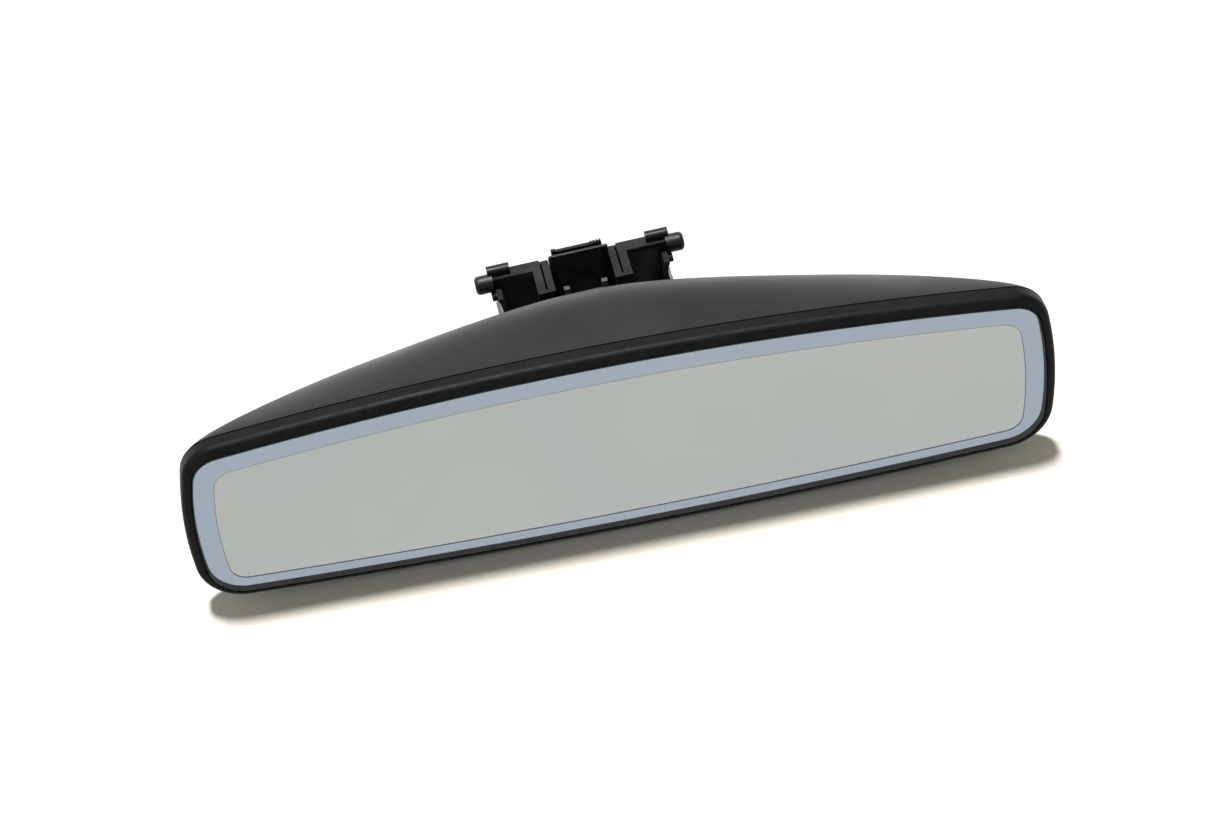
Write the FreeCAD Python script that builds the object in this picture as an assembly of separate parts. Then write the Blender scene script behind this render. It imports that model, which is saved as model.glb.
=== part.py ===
import FreeCAD, Part
import math
import os

# Auto-dimming interior rearview mirror. It is drawn with the front of the glass on the plane y = 0,
# +X to the viewer's right, +Y towards the windscreen and +Z up, with the ball centre on z = 0.
# Each piece is then moved so that the origin is on the bracket's seat face, level with the ball.

os.makedirs("parts", exist_ok=True)
V = FreeCAD.Vector

# ---- Driving dimensions, in millimetres ----

# Front glass outline: four bowed edges joined by corner arcs.
GLASS_HALF = 122.2
GLASS_TOP = 30.0
GLASS_BOTTOM = -31.2
TOP_BOW_R = 930.0
BOTTOM_BOW_R = 2184.0
SIDE_BOW_R = 121.0
SIDE_BOW_Z = -9.2
CORNER_TOP_R = 8.7
CORNER_BOTTOM_R = 11.1

# Bezel band round the glass.
BEZEL_SIDE = 3.1
BEZEL_TOP = 3.24
BEZEL_BOTTOM = 2.04
BEZEL_SET_BACK = 0.15
BEZEL_DEPTH = 5.6
BEZEL_ROUND = 1.7
GLASS_GAP = 0.25
TONGUE_WALL = 1.2
TONGUE_LENGTH = 3.2
TONGUE_HALF = 88.0
TONGUE_GAP = 0.6

# Rear case: a crown lofted from the seam to a small flat at the back.
SEAM_GAP = 0.3
CROWN_DEPTH = 38.9
CROWN_END = 0.964
CASE_WALL = 2.2
CROWN_TAPER = 0.69
CROWN_TAPER_POWER = 1.38
CROWN_TAPER_FALL = 1.345
CROWN_ROOF_POWER = 4.98
CROWN_ROOF_FALL = 0.563
CROWN_RIDGE_Z = 2.8
TOP_SAG_GROWTH = 3.4
BOTTOM_SAG_GROWTH = 5.0
CORNER_SHARE = 0.8

# Glass stack, front to back.
FRONT_GLASS_T = 2.0
GEL_T = 0.2
COATING_T = 0.05
REAR_GLASS_T = 1.8
RING_SIDE = 5.9
RING_TOP = 6.6
RING_BOTTOM = 4.3
RING_T = 0.1
SEAL_WIDTH = 2.4
REAR_GLASS_STEP = 1.6
FOAM_T = 0.8
FOAM_INSET = 6.0
CLIP_LENGTH = 190.0
CLIP_T = 0.2

# Carrier plate and electronics.
CARRIER_T = 2.0
CARRIER_INSET = 2.6
CARRIER_RIB_SIDE = 22.2
CARRIER_RIB_TOP = 10.0
CARRIER_RIB_BOTTOM = 9.2
BOARD_T = 1.6
BOARD_HALF = 62.0
BOARD_HALF_HEIGHT = 16.0
BOARD_GAP = 3.0
SENSOR_X = 42.0
SENSOR_Z = 9.0
LENS_R = 3.6
PIPE_R = 2.2

# Ball joint.
BALL_Y = 31.5
BALL_R = 8.5
BORE_R = 2.6
NECK_R = 4.2
LINER_WALL = 0.9
RETAINER_WALL = 1.0
CUP_WALL = 1.8
RUNNING_GAP = 0.08
CUP_FLANGE_Y = 24.5
CUP_FLANGE_T = 2.4
CUP_FLANGE_EDGE = 4.5
CUP_SCREW_X = 19.0
CUP_SCREW_Z = 8.5
OPENING_R = 10.8
COLLAR_WALL = 1.4
COLLAR_HEIGHT = 0.9

# Windscreen bracket.
SEAT_Y = 66.1
MOUNT_ROLL = -2.8
DECK_Z = 18.6
RIB_T = 2.5
RIB_FRONT_Y = 50.6
WEB_FRONT_Y = 61.7
WEB_T = 2.5
WING_HALF = 27.3
WAIST_HALF = 26.4
FOOT_HALF = 15.5
FOOT_Z = -12.0
STUD_WALL_Y = 53.0
STUD_WALL_T = 3.0
STUD_FLANGE_R = 9.0
SPIGOT_R = 5.0
NUT_AF = 14.0
NUT_T = 3.2
SLOT_W = 0.55
TAB_T = 2.1
TAB_GAP = 0.15
TAB_HEIGHT = 8.0
SLOT_BACK_T = 1.2
LUG_R = 2.8
LUG_END = 33.0
LUG_ROOT = 1.2
LUG_Z = 16.6
LUG_Y = 63.0
BLOCK_HALF = 8.8
BLOCK_FRONT_Y = 59.6
BLOCK_BOTTOM_Z = 3.6
BLOCK_FRONT_TOP_Z = 23.8
BLOCK_BACK_TOP_Z = 18.8
BLOCK_WALL = 0.9
PLUG_DEPTH_Z = 11.0
CAP_HEIGHT = 2.4
COVER_T = 1.9
COVER_LAP = 0.8
HARNESS_R = 1.7
LEAD_GAP = 0.3

# Small fasteners.
SCREW_R = 1.4
SCREW_HEAD_R = 2.6
SCREW_HEAD_T = 1.3
THREAD_GAP = 0.05
BOSS_R = 3.0
FIT = 0.15


# ---- Shape helpers ----

def box(x0, x1, y0, y1, z0, z1):
    return Part.makeBox(x1 - x0, y1 - y0, z1 - z0, V(x0, y0, z0))


def rod(x, z, radius, y0, y1):
    """A round bar along Y."""
    return Part.makeCylinder(radius, y1 - y0, V(x, y0, z), V(0, 1, 0))


def fuse(shapes):
    shape = shapes[0].multiFuse(shapes[1:]) if len(shapes) > 1 else shapes[0]
    return shape.removeSplitter()


def mirrored(shape):
    """The same shape on the other side of the middle plane."""
    return shape.mirror(V(0, 0, 0), V(1, 0, 0))


def both_sides(shape):
    return [shape, mirrored(shape)]


def write(name, shape):
    """Move a finished piece from the glass frame to the seat frame and save it."""
    placed = shape.copy()
    placed.translate(V(0, -SEAT_Y, 0))
    placed.exportStep("parts/" + name + ".step")


def write_mount(name, shape):
    """Save a piece of the mount, which sits slightly rolled about the ball against the level head."""
    turned = shape.copy()
    turned.rotate(V(0, 0, 0), V(0, 1, 0), MOUNT_ROLL)
    write(name, turned)


# ---- Outlines ----

def meeting_point(c1, r1, c2, r2):
    """The right-hand crossing of two circles in the XZ plane, given as (x, z) centres."""
    dx = c2[0] - c1[0]
    dz = c2[1] - c1[1]
    gap = math.hypot(dx, dz)
    along = (r1 * r1 - r2 * r2 + gap * gap) / (2 * gap)
    across = math.sqrt(max(r1 * r1 - along * along, 0.0))
    mx = c1[0] + along * dx / gap
    mz = c1[1] + along * dz / gap
    first = (mx - across * dz / gap, mz + across * dx / gap)
    second = (mx + across * dz / gap, mz - across * dx / gap)
    return max(first, second)


def on_circle(centre, radius, towards):
    """The point of a circle on the ray from its centre through another point."""
    dx = towards[0] - centre[0]
    dz = towards[1] - centre[1]
    length = math.hypot(dx, dz)
    return (centre[0] + radius * dx / length, centre[1] + radius * dz / length)


def halfway(p, q):
    return ((p[0] + q[0]) / 2, (p[1] + q[1]) / 2)


def bowed_outline(size, y):
    """A closed wire of four bowed edges and four corner arcs, symmetric about x = 0."""
    half, top, bottom, r_top, r_bottom, r_side, z_side, c_top, c_bottom = size
    top_c = (0.0, top - r_top)
    bottom_c = (0.0, bottom + r_bottom)
    side_c = (half - r_side, z_side)
    upper_c = meeting_point(top_c, r_top - c_top, side_c, r_side - c_top)
    lower_c = meeting_point(bottom_c, r_bottom - c_bottom, side_c, r_side - c_bottom)
    top_end = on_circle(top_c, r_top, upper_c)
    side_top = on_circle(side_c, r_side, upper_c)
    side_end = on_circle(side_c, r_side, lower_c)
    bottom_end = on_circle(bottom_c, r_bottom, lower_c)
    right = [
        (top_end, on_circle(upper_c, c_top, halfway(top_end, side_top)), side_top),
        (side_top, on_circle(side_c, r_side, halfway(side_top, side_end)), side_end),
        (side_end, on_circle(lower_c, c_bottom, halfway(side_end, bottom_end)), bottom_end),
    ]

    def flip(p):
        return (-p[0], p[1])

    arcs = [(flip(top_end), (0.0, top), top_end)] + right
    arcs.append((bottom_end, (0.0, bottom), flip(bottom_end)))
    arcs += [(flip(c), flip(b), flip(a)) for a, b, c in reversed(right)]
    edges = [Part.Arc(*[V(p[0], y, p[1]) for p in arc]).toShape() for arc in arcs]
    return Part.Wire(edges)


def grown(size, out):
    """The parallel outline, further out by the given distance (or inside it if negative)."""
    half, top, bottom, r_top, r_bottom, r_side, z_side, c_top, c_bottom = size
    return (half + out, top + out, bottom - out, r_top + out, r_bottom + out, r_side + out,
            z_side, c_top + out, c_bottom + out)


def plate(size, y0, y1):
    return Part.Face(bowed_outline(size, y0)).extrude(V(0, y1 - y0, 0))


def frame_plate(outer, inner, y0, y1):
    return plate(outer, y0, y1).cut(plate(inner, y0 - 1, y1 + 1))


GLASS = (GLASS_HALF, GLASS_TOP, GLASS_BOTTOM, TOP_BOW_R, BOTTOM_BOW_R, SIDE_BOW_R, SIDE_BOW_Z,
         CORNER_TOP_R, CORNER_BOTTOM_R)
SEAM = (GLASS_HALF + BEZEL_SIDE, GLASS_TOP + BEZEL_TOP, GLASS_BOTTOM - BEZEL_BOTTOM,
        TOP_BOW_R + BEZEL_TOP, BOTTOM_BOW_R + BEZEL_BOTTOM, SIDE_BOW_R + BEZEL_SIDE, SIDE_BOW_Z,
        CORNER_TOP_R + BEZEL_SIDE, CORNER_BOTTOM_R + BEZEL_BOTTOM)


# ---- Rear case ----

CASE_FRONT_Y = BEZEL_DEPTH + SEAM_GAP
CASE_BACK_Y = CASE_FRONT_Y + CROWN_END * CROWN_DEPTH


def crown_half(u):
    """Half-width of the case at a share u of the crown's depth."""
    return SEAM[0] * (1 - CROWN_TAPER * u ** CROWN_TAPER_POWER) ** CROWN_TAPER_FALL


def crown_fall(u):
    """How much of the case's height is left at a share u of the crown's depth."""
    return (1 - u ** CROWN_ROOF_POWER) ** CROWN_ROOF_FALL


def crown_top(u):
    return CROWN_RIDGE_Z + (SEAM[1] - CROWN_RIDGE_Z) * crown_fall(u)


def crown_bottom(u):
    return SEAM[2] * crown_fall(u)


def wall_across(law, u):
    """Wall thickness measured square to Y where the outer surface slopes."""
    step = 0.04
    low = max(u - step, 0.0)
    slope = (law(u + step) - law(low)) / ((u + step - low) * CROWN_DEPTH)
    return CASE_WALL * math.sqrt(1 + slope * slope)


def crown_section(u, inside):
    half = crown_half(u)
    top = crown_top(u)
    bottom = crown_bottom(u)
    share = (top - bottom) / (SEAM[1] - SEAM[2])
    top_sag = SEAM[0] ** 2 / (2 * SEAM[3]) + TOP_SAG_GROWTH * u
    bottom_sag = SEAM[0] ** 2 / (2 * SEAM[4]) + BOTTOM_SAG_GROWTH * u
    r_top = half * half / (2 * top_sag)
    r_bottom = half * half / (2 * bottom_sag)
    side_height = top - top_sag - bottom - bottom_sag
    corner = CORNER_SHARE * side_height / 2
    size = (half, top, bottom, r_top, r_bottom, SEAM[5] * share, SEAM[6] * share,
            min(SEAM[7], corner), min(SEAM[8], corner))
    if inside:
        side = wall_across(crown_half, u)
        roof = wall_across(crown_top, u)
        floor = wall_across(crown_bottom, u)
        size = (half - side, top - roof, bottom + floor, r_top - roof, r_bottom - floor,
                size[5] - side, size[6], max(size[7] - CASE_WALL, 1.0), max(size[8] - CASE_WALL, 1.0))
    return bowed_outline(size, CASE_FRONT_Y + u * CROWN_DEPTH)


def crown_solid(inside):
    """The case as one solid: the outer body, or the hollow inside its wall."""
    end = CROWN_END - (CASE_WALL / CROWN_DEPTH if inside else 0.0)
    shares = [0.0, 0.1, 0.22, 0.34, 0.46, 0.58, 0.68, 0.76, 0.83, 0.88, 0.92]
    shares = [u for u in shares if u < end - 0.02] + [end]
    return Part.makeLoft([crown_section(u, inside) for u in shares], True, False)


CASE_OUTER = crown_solid(False)
CASE_HOLLOW = crown_solid(True)
BOSS_LIMIT = CASE_OUTER.translated(V(0, -CASE_WALL / 3, 0))

CARRIER_Y = FRONT_GLASS_T + GEL_T + COATING_T + REAR_GLASS_T + FOAM_T
CARRIER_BACK_Y = CARRIER_Y + CARRIER_T
CARRIER_SCREWS = [(x, z) for x in (-96.0, 96.0) for z in (-13.0, 11.0)]
CUP_SCREWS = [(x, z) for x in (-CUP_SCREW_X, CUP_SCREW_X) for z in (-CUP_SCREW_Z, CUP_SCREW_Z)]
CUP_BOSS_Y = CUP_FLANGE_Y + CUP_FLANGE_T
CARRIER_SCREW_LENGTH = 9.0
CUP_SCREW_LENGTH = 8.0
BOSS_SINK = 1.0


def screw(x, z, head_front_y, length):
    """A pan-head screw driven along +Y, with its head's back face on the plate it holds."""
    head = rod(x, z, SCREW_HEAD_R, head_front_y, head_front_y + SCREW_HEAD_T)
    socket = rod(x, z, SCREW_R * 0.8, head_front_y, head_front_y + SCREW_HEAD_T / 2)
    shank = rod(x, z, SCREW_R, head_front_y + SCREW_HEAD_T, head_front_y + SCREW_HEAD_T + length)
    return fuse([head, shank]).cut(socket)


def rear_case():
    shell = CASE_OUTER.cut(CASE_HOLLOW)
    bosses = []
    bores = []
    for x, z in CARRIER_SCREWS:
        bosses.append(rod(x, z, BOSS_R, CARRIER_BACK_Y, CASE_BACK_Y).common(BOSS_LIMIT))
        depth = CARRIER_Y + SCREW_HEAD_T + CARRIER_SCREW_LENGTH + BOSS_SINK
        bores.append(rod(x, z, SCREW_R + THREAD_GAP, CARRIER_BACK_Y - 1, depth))
    for x, z in CUP_SCREWS:
        bosses.append(rod(x, z, BOSS_R, CUP_BOSS_Y, CASE_BACK_Y).common(BOSS_LIMIT))
        bores.append(rod(x, z, SCREW_R + THREAD_GAP, CUP_BOSS_Y - 1, CUP_BOSS_Y + CUP_SCREW_LENGTH))
    collar = rod(0, 0, OPENING_R + COLLAR_WALL, CASE_BACK_Y - CASE_WALL, CASE_BACK_Y + COLLAR_HEIGHT)
    opening = rod(0, 0, OPENING_R, CASE_BACK_Y - 2 * CASE_WALL, CASE_BACK_Y + 2 * COLLAR_HEIGHT)
    lens_hole = rod(-SENSOR_X, SENSOR_Z, LENS_R + FIT, CUP_FLANGE_Y, CASE_BACK_Y + 1)
    case = fuse([shell, collar] + bosses)
    for bore in bores + [opening, lens_hole]:
        case = case.cut(bore)
    return case


def ambient_lens():
    """Clear light pipe: its head fills the hole in the case, flush with the outer surface."""
    head = rod(-SENSOR_X, SENSOR_Z, LENS_R, CUP_FLANGE_Y, CASE_BACK_Y).common(CASE_OUTER)
    head = head.cut(CASE_HOLLOW)
    pipe = rod(-SENSOR_X, SENSOR_Z, PIPE_R, SENSOR_TOP_Y + FIT, CASE_BACK_Y).common(CASE_OUTER)
    return fuse([head, pipe])


# ---- Bezel and glass stack ----

def bezel():
    band = frame_plate(SEAM, grown(GLASS, GLASS_GAP), BEZEL_SET_BACK, BEZEL_DEPTH)
    front = [e for e in band.Edges if abs(e.BoundBox.YMin - BEZEL_SET_BACK) < 0.01
             and abs(e.BoundBox.YMax - BEZEL_SET_BACK) < 0.01]
    outer = [e for e in front if on_outline(e, SEAM)]
    band = band.makeFillet(BEZEL_ROUND, outer)
    tongue_outer = grown(SEAM, -CASE_WALL - TONGUE_GAP)
    tongue_inner = grown(tongue_outer, -TONGUE_WALL)
    shelf_outer = grown(SEAM, -TONGUE_WALL)
    shelf = frame_plate(shelf_outer, tongue_inner, REAR_BACK_Y + CLIP_T + FIT, BEZEL_DEPTH)
    tongue = frame_plate(tongue_outer, tongue_inner, BEZEL_DEPTH, BEZEL_DEPTH + TONGUE_LENGTH)
    tongue = tongue.common(box(-TONGUE_HALF, TONGUE_HALF, 0, CASE_BACK_Y, 2 * SEAM[2], 2 * SEAM[1]))
    return fuse([band, shelf, tongue])


def on_outline(edge, size):
    """Whether an edge lies on the given outline."""
    wire = bowed_outline(size, edge.BoundBox.YMin)
    middle = edge.valueAt((edge.FirstParameter + edge.LastParameter) / 2)
    return wire.distToShape(Part.Vertex(middle))[0] < 0.01


RING_INNER = (GLASS_HALF - RING_SIDE, GLASS_TOP - RING_TOP, GLASS_BOTTOM + RING_BOTTOM,
              TOP_BOW_R, BOTTOM_BOW_R, SIDE_BOW_R, SIDE_BOW_Z, CORNER_TOP_R, CORNER_BOTTOM_R / 2)
GEL_Y = FRONT_GLASS_T
COATING_Y = GEL_Y + GEL_T
REAR_Y = COATING_Y + COATING_T
REAR_BACK_Y = REAR_Y + REAR_GLASS_T
REAR_SIZE = (GLASS_HALF - 0.2, GLASS_TOP - REAR_GLASS_STEP, GLASS_BOTTOM + REAR_GLASS_STEP,
             TOP_BOW_R, BOTTOM_BOW_R, SIDE_BOW_R, SIDE_BOW_Z, CORNER_TOP_R, CORNER_BOTTOM_R)
SEAL_INNER = grown(REAR_SIZE, -SEAL_WIDTH)


def front_glass():
    glass = plate(GLASS, 0.0, FRONT_GLASS_T)
    rim = [e for e in glass.Edges if e.BoundBox.YMax < 0.01]
    return glass.makeChamfer(0.25, rim)


def chrome_ring():
    return frame_plate(grown(GLASS, -0.1), RING_INNER, GEL_Y, GEL_Y + RING_T)


def edge_seal():
    return frame_plate(REAR_SIZE, SEAL_INNER, GEL_Y + RING_T, COATING_Y)


def ec_gel():
    """Gel between the plates. It is full depth inside the ring and thinner over it."""
    middle = plate(RING_INNER, GEL_Y, COATING_Y)
    rim = plate(SEAL_INNER, GEL_Y + RING_T, COATING_Y)
    return fuse([middle, rim])


def mirror_coating():
    return plate(REAR_SIZE, COATING_Y, REAR_Y)


def rear_glass():
    return plate(REAR_SIZE, REAR_Y, REAR_BACK_Y)


def bus_clip(side):
    """A thin spring channel over the rear plate's long edge, which feeds the coating."""
    edge_z = GLASS_TOP - REAR_GLASS_STEP if side > 0 else GLASS_BOTTOM + REAR_GLASS_STEP
    size = grown(REAR_SIZE, CLIP_T)
    shell = plate(size, REAR_Y, REAR_BACK_Y + CLIP_T)
    inner = plate(REAR_SIZE, REAR_Y - 1, REAR_BACK_Y)
    window = plate(grown(REAR_SIZE, -1.2), REAR_Y - 1, REAR_BACK_Y + 1)
    reach = 12.0
    half = CLIP_LENGTH / 2
    zone = box(-half, half, 0, 2 * REAR_BACK_Y, min(edge_z - side * reach, edge_z + side * reach),
               max(edge_z - side * reach, edge_z + side * reach))
    return shell.cut(inner).cut(window).common(zone)


def foam_tape():
    pad = plate(grown(GLASS, -FOAM_INSET), REAR_BACK_Y, CARRIER_Y)
    return pad.cut(rod(SENSOR_X, SENSOR_Z, LENS_R, 0, CARRIER_BACK_Y))


BOARD_Y = CARRIER_BACK_Y + BOARD_GAP
BOARD_BACK_Y = BOARD_Y + BOARD_T
BOARD_SCREWS = [(-56.0, 0.0), (56.0, 0.0)]
SENSOR_TOP_Y = BOARD_BACK_Y + 2.0
STANDOFF_R = 2.8


def carrier_plate():
    """Moulded plate with stiffening ribs, screw pockets and standoffs for the board."""
    body = plate(grown(GLASS, -CARRIER_INSET), CARRIER_Y, CARRIER_BACK_Y)
    low_z = GLASS_BOTTOM + CARRIER_RIB_BOTTOM
    high_z = GLASS_TOP - CARRIER_RIB_TOP
    reach = GLASS_HALF - CARRIER_RIB_SIDE
    ribs = []
    for z in (low_z, high_z):
        ribs.append(box(-reach, reach, CARRIER_BACK_Y, CARRIER_BACK_Y + 3.0, z - 0.7, z + 0.7))
    for x in (-75.0, 75.0):
        ribs.append(box(x - 0.7, x + 0.7, CARRIER_BACK_Y, CARRIER_BACK_Y + 3.0, low_z, high_z))
    posts = [rod(x, z, STANDOFF_R, CARRIER_BACK_Y, BOARD_Y) for x, z in BOARD_SCREWS]
    posts += [rod(x, z, STANDOFF_R, CARRIER_BACK_Y, BOARD_Y) for x in (-30.0, 30.0) for z in (-11.0, 11.0)]
    body = fuse([body] + ribs + posts)
    for x, z in CARRIER_SCREWS:
        body = body.cut(rod(x, z, SCREW_HEAD_R + FIT, CARRIER_Y - 1, CARRIER_Y + SCREW_HEAD_T))
        body = body.cut(rod(x, z, SCREW_R + FIT, CARRIER_Y, CARRIER_BACK_Y + 1))
    for x, z in BOARD_SCREWS:
        body = body.cut(rod(x, z, SCREW_R + THREAD_GAP, CARRIER_Y + 1.0, BOARD_Y + 1))
    return body.cut(rod(SENSOR_X, SENSOR_Z, LENS_R, 0, CARRIER_BACK_Y + 1))


def carrier_screws():
    return Part.makeCompound([screw(x, z, CARRIER_Y, CARRIER_SCREW_LENGTH) for x, z in CARRIER_SCREWS])


# ---- Electronics ----

def circuit_board():
    board = box(-BOARD_HALF, BOARD_HALF, BOARD_Y, BOARD_BACK_Y, -BOARD_HALF_HEIGHT, BOARD_HALF_HEIGHT)
    corners = [e for e in board.Edges if e.BoundBox.YLength > BOARD_T - 0.01]
    board = board.makeFillet(3.0, corners)
    for x, z in BOARD_SCREWS:
        board = board.cut(rod(x, z, SCREW_R + FIT, BOARD_Y - 1, BOARD_BACK_Y + 1))
    return board


def board_screws():
    screws = []
    for x, z in BOARD_SCREWS:
        head = rod(x, z, SCREW_HEAD_R, BOARD_BACK_Y, BOARD_BACK_Y + SCREW_HEAD_T)
        shank = rod(x, z, SCREW_R, CARRIER_Y + 1.5, BOARD_BACK_Y)
        socket = rod(x, z, SCREW_R * 0.8, BOARD_BACK_Y + SCREW_HEAD_T / 2, BOARD_BACK_Y + SCREW_HEAD_T)
        screws.append(fuse([head, shank]).cut(socket))
    return Part.makeCompound(screws)


def on_board(x, z, width, height, thick):
    top = BOARD_BACK_Y + thick
    return box(x - width / 2, x + width / 2, BOARD_BACK_Y, top, z - height / 2, z + height / 2)


def board_chips():
    return Part.makeCompound([
        on_board(-18, -6, 10, 10, 1.4),
        on_board(20, 8, 7, 5, 1.5),
        on_board(38, -7, 6.5, 6.1, 2.3),
    ])


def board_capacitors():
    cans = [rod(x, z, 3.1, BOARD_BACK_Y, BOARD_BACK_Y + 5.4) for x, z in ((48, 7), (28, -8))]
    chips = [on_board(x, z, 3.2, 1.6, 1.1) for x in (-34, -4, 6) for z in (-10, 10)]
    return Part.makeCompound(cans + chips)


def glare_sensor():
    """Light sensor on the board's front, looking back through the glass."""
    foot = box(SENSOR_X - 2.5, SENSOR_X + 2.5, BOARD_Y - 1.2, BOARD_Y, SENSOR_Z - 2, SENSOR_Z + 2)
    dome = Part.makeSphere(1.5, V(SENSOR_X, BOARD_Y - 1.2, SENSOR_Z))
    return fuse([foot, dome.cut(box(0, 99, BOARD_Y - 1.2, BOARD_Y + 9, -20, 20))])


def ambient_sensor():
    foot = box(-SENSOR_X - 2.5, -SENSOR_X + 2.5, BOARD_BACK_Y, SENSOR_TOP_Y, SENSOR_Z - 2, SENSOR_Z + 2)
    return foot


HEADER_X = -46.0
HEADER_Z = -7.0
HEADER_DEPTH = 4.6
LEAD_Y = BOARD_BACK_Y + HEADER_DEPTH + HARNESS_R + LEAD_GAP


def board_header():
    shroud = on_board(HEADER_X, HEADER_Z, 12, 7, HEADER_DEPTH)
    well = box(HEADER_X - 5, HEADER_X + 5, BOARD_BACK_Y + 1.5, BOARD_BACK_Y + HEADER_DEPTH + 1,
               HEADER_Z - 2.5, HEADER_Z + 2.5)
    return shroud.cut(well)


# ---- Ball joint ----

def sphere_band(r_in, r_out, start, stop):
    """A spherical wall about the ball centre, between two angles measured from the -Y axis."""
    a = math.radians(start)
    b = math.radians(stop)

    def at(radius, angle):
        return V(radius * math.sin(angle), BALL_Y - radius * math.cos(angle), 0)

    middle = (a + b) / 2
    outer = Part.Arc(at(r_out, a), at(r_out, middle), at(r_out, b)).toShape()
    far = Part.makeLine(at(r_out, b), at(r_in, b))
    inner = Part.Arc(at(r_in, b), at(r_in, middle), at(r_in, a)).toShape()
    near = Part.makeLine(at(r_in, a), at(r_out, a))
    face = Part.Face(Part.Wire([outer, far, inner, near]))
    return face.revolve(V(0, BALL_Y, 0), V(0, 1, 0), 360)


LINER_IN = BALL_R + RUNNING_GAP
LINER_OUT = LINER_IN + LINER_WALL
RETAINER_IN = LINER_OUT + RUNNING_GAP
RETAINER_OUT = RETAINER_IN + RETAINER_WALL
CUP_IN = RETAINER_OUT + RUNNING_GAP
CUP_OUT = CUP_IN + CUP_WALL
CUP_RIM_Y = BALL_Y + 5.6
PLATE_T = 0.9
STUD_FLANGE_Y = STUD_WALL_Y - 2.4
NUT_Y = STUD_WALL_Y + STUD_WALL_T
STUD_END_Y = NUT_Y + NUT_T + 0.2


def friction_liner():
    return sphere_band(LINER_IN, LINER_OUT, 28, 112)


def retainer_ring():
    return sphere_band(RETAINER_IN, RETAINER_OUT, 62, 128)


def socket_cup():
    """Cup that the ball assembly turns in, with the flange that is screwed to the case."""
    cup = sphere_band(CUP_IN, CUP_OUT, 26, 128)
    cup = cup.cut(box(-20, 20, CUP_RIM_Y, CUP_RIM_Y + 20, -20, 20))
    cup = cup.cut(box(-20, 20, 0, LEAD_Y + HARNESS_R + LEAD_GAP, -20, 20))
    half_x = CUP_SCREW_X + CUP_FLANGE_EDGE
    half_z = CUP_SCREW_Z + CUP_FLANGE_EDGE
    flange = box(-half_x, half_x, CUP_FLANGE_Y, CUP_BOSS_Y, -half_z, half_z)
    corners = [e for e in flange.Edges if e.BoundBox.YLength > CUP_FLANGE_T - 0.01]
    flange = flange.makeFillet(CUP_FLANGE_EDGE - 0.5, corners)
    flange = flange.cut(Part.makeSphere((CUP_IN + CUP_OUT) / 2, V(0, BALL_Y, 0)))
    ribs = [box(-CUP_SCREW_X, -CUP_OUT + 0.6, CUP_BOSS_Y, CUP_BOSS_Y + 5, -0.8, 0.8)]
    ribs += [mirrored(ribs[0])]
    cup = fuse([cup, flange] + ribs)
    for x, z in CUP_SCREWS:
        cup = cup.cut(rod(x, z, SCREW_R + FIT, CUP_FLANGE_Y - 1, CUP_BOSS_Y + 1))
    return cup


def socket_screws():
    front = CUP_FLANGE_Y - SCREW_HEAD_T
    return Part.makeCompound([screw(x, z, front, CUP_FLANGE_T + CUP_SCREW_LENGTH - BOSS_SINK)
                              for x, z in CUP_SCREWS])


def retaining_plate():
    """Spring steel washer behind the cup that keeps the retainer ring in."""
    reach = math.sqrt(RETAINER_OUT ** 2 - (CUP_RIM_Y - BALL_Y) ** 2)
    disc = rod(0, 0, CUP_OUT, CUP_RIM_Y, CUP_RIM_Y + PLATE_T)
    return disc.cut(rod(0, 0, reach + FIT, CUP_RIM_Y - 1, CUP_RIM_Y + PLATE_T + 1))


def ball_stud():
    """Hollow cast ball, neck, flange and threaded spigot, bored for the harness."""
    ball = Part.makeSphere(BALL_R, V(0, BALL_Y, 0))
    neck = rod(0, 0, NECK_R, BALL_Y, STUD_FLANGE_Y)
    flare = Part.makeCone(NECK_R, NECK_R + 2.4, 3.0, V(0, STUD_FLANGE_Y - 3.0, 0), V(0, 1, 0))
    flange = rod(0, 0, STUD_FLANGE_R, STUD_FLANGE_Y, STUD_WALL_Y)
    spigot = rod(0, 0, SPIGOT_R, STUD_WALL_Y, STUD_END_Y)
    stud = fuse([ball, neck, flare, flange, spigot])
    stud = stud.cut(rod(0, 0, BORE_R, BALL_Y - 2 * BALL_R, STUD_END_Y + 1))
    mouth = Part.makeCone(BORE_R + 2.2, BORE_R, 5.0, V(0, BALL_Y - BALL_R, 0), V(0, 1, 0))
    return stud.cut(mouth)


def stud_nut():
    points = []
    for i in range(7):
        angle = math.radians(60 * i)
        radius = NUT_AF / math.sqrt(3)
        points.append(V(radius * math.cos(angle), NUT_Y, radius * math.sin(angle)))
    nut = Part.Face(Part.makePolygon(points)).extrude(V(0, NUT_T, 0))
    return nut.cut(rod(0, 0, SPIGOT_R + THREAD_GAP, NUT_Y - 1, NUT_Y + NUT_T + 1))


# ---- Windscreen bracket ----

WEB_BACK_Y = WEB_FRONT_Y + WEB_T
RIB_INNER_X = BLOCK_HALF + TAB_GAP + TAB_T + SLOT_W
COVER_HALF = RIB_INNER_X + COVER_LAP
COVER_Y = SEAT_Y - COVER_T
COVER_TOP_Z = 2.6
COVER_BOTTOM_Z = FOOT_Z + 1.0
COVER_SCREW_Z = -8.6
COVER_SCREW_X = 8.4
RIB_OUTER_X = RIB_INNER_X + RIB_T


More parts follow.
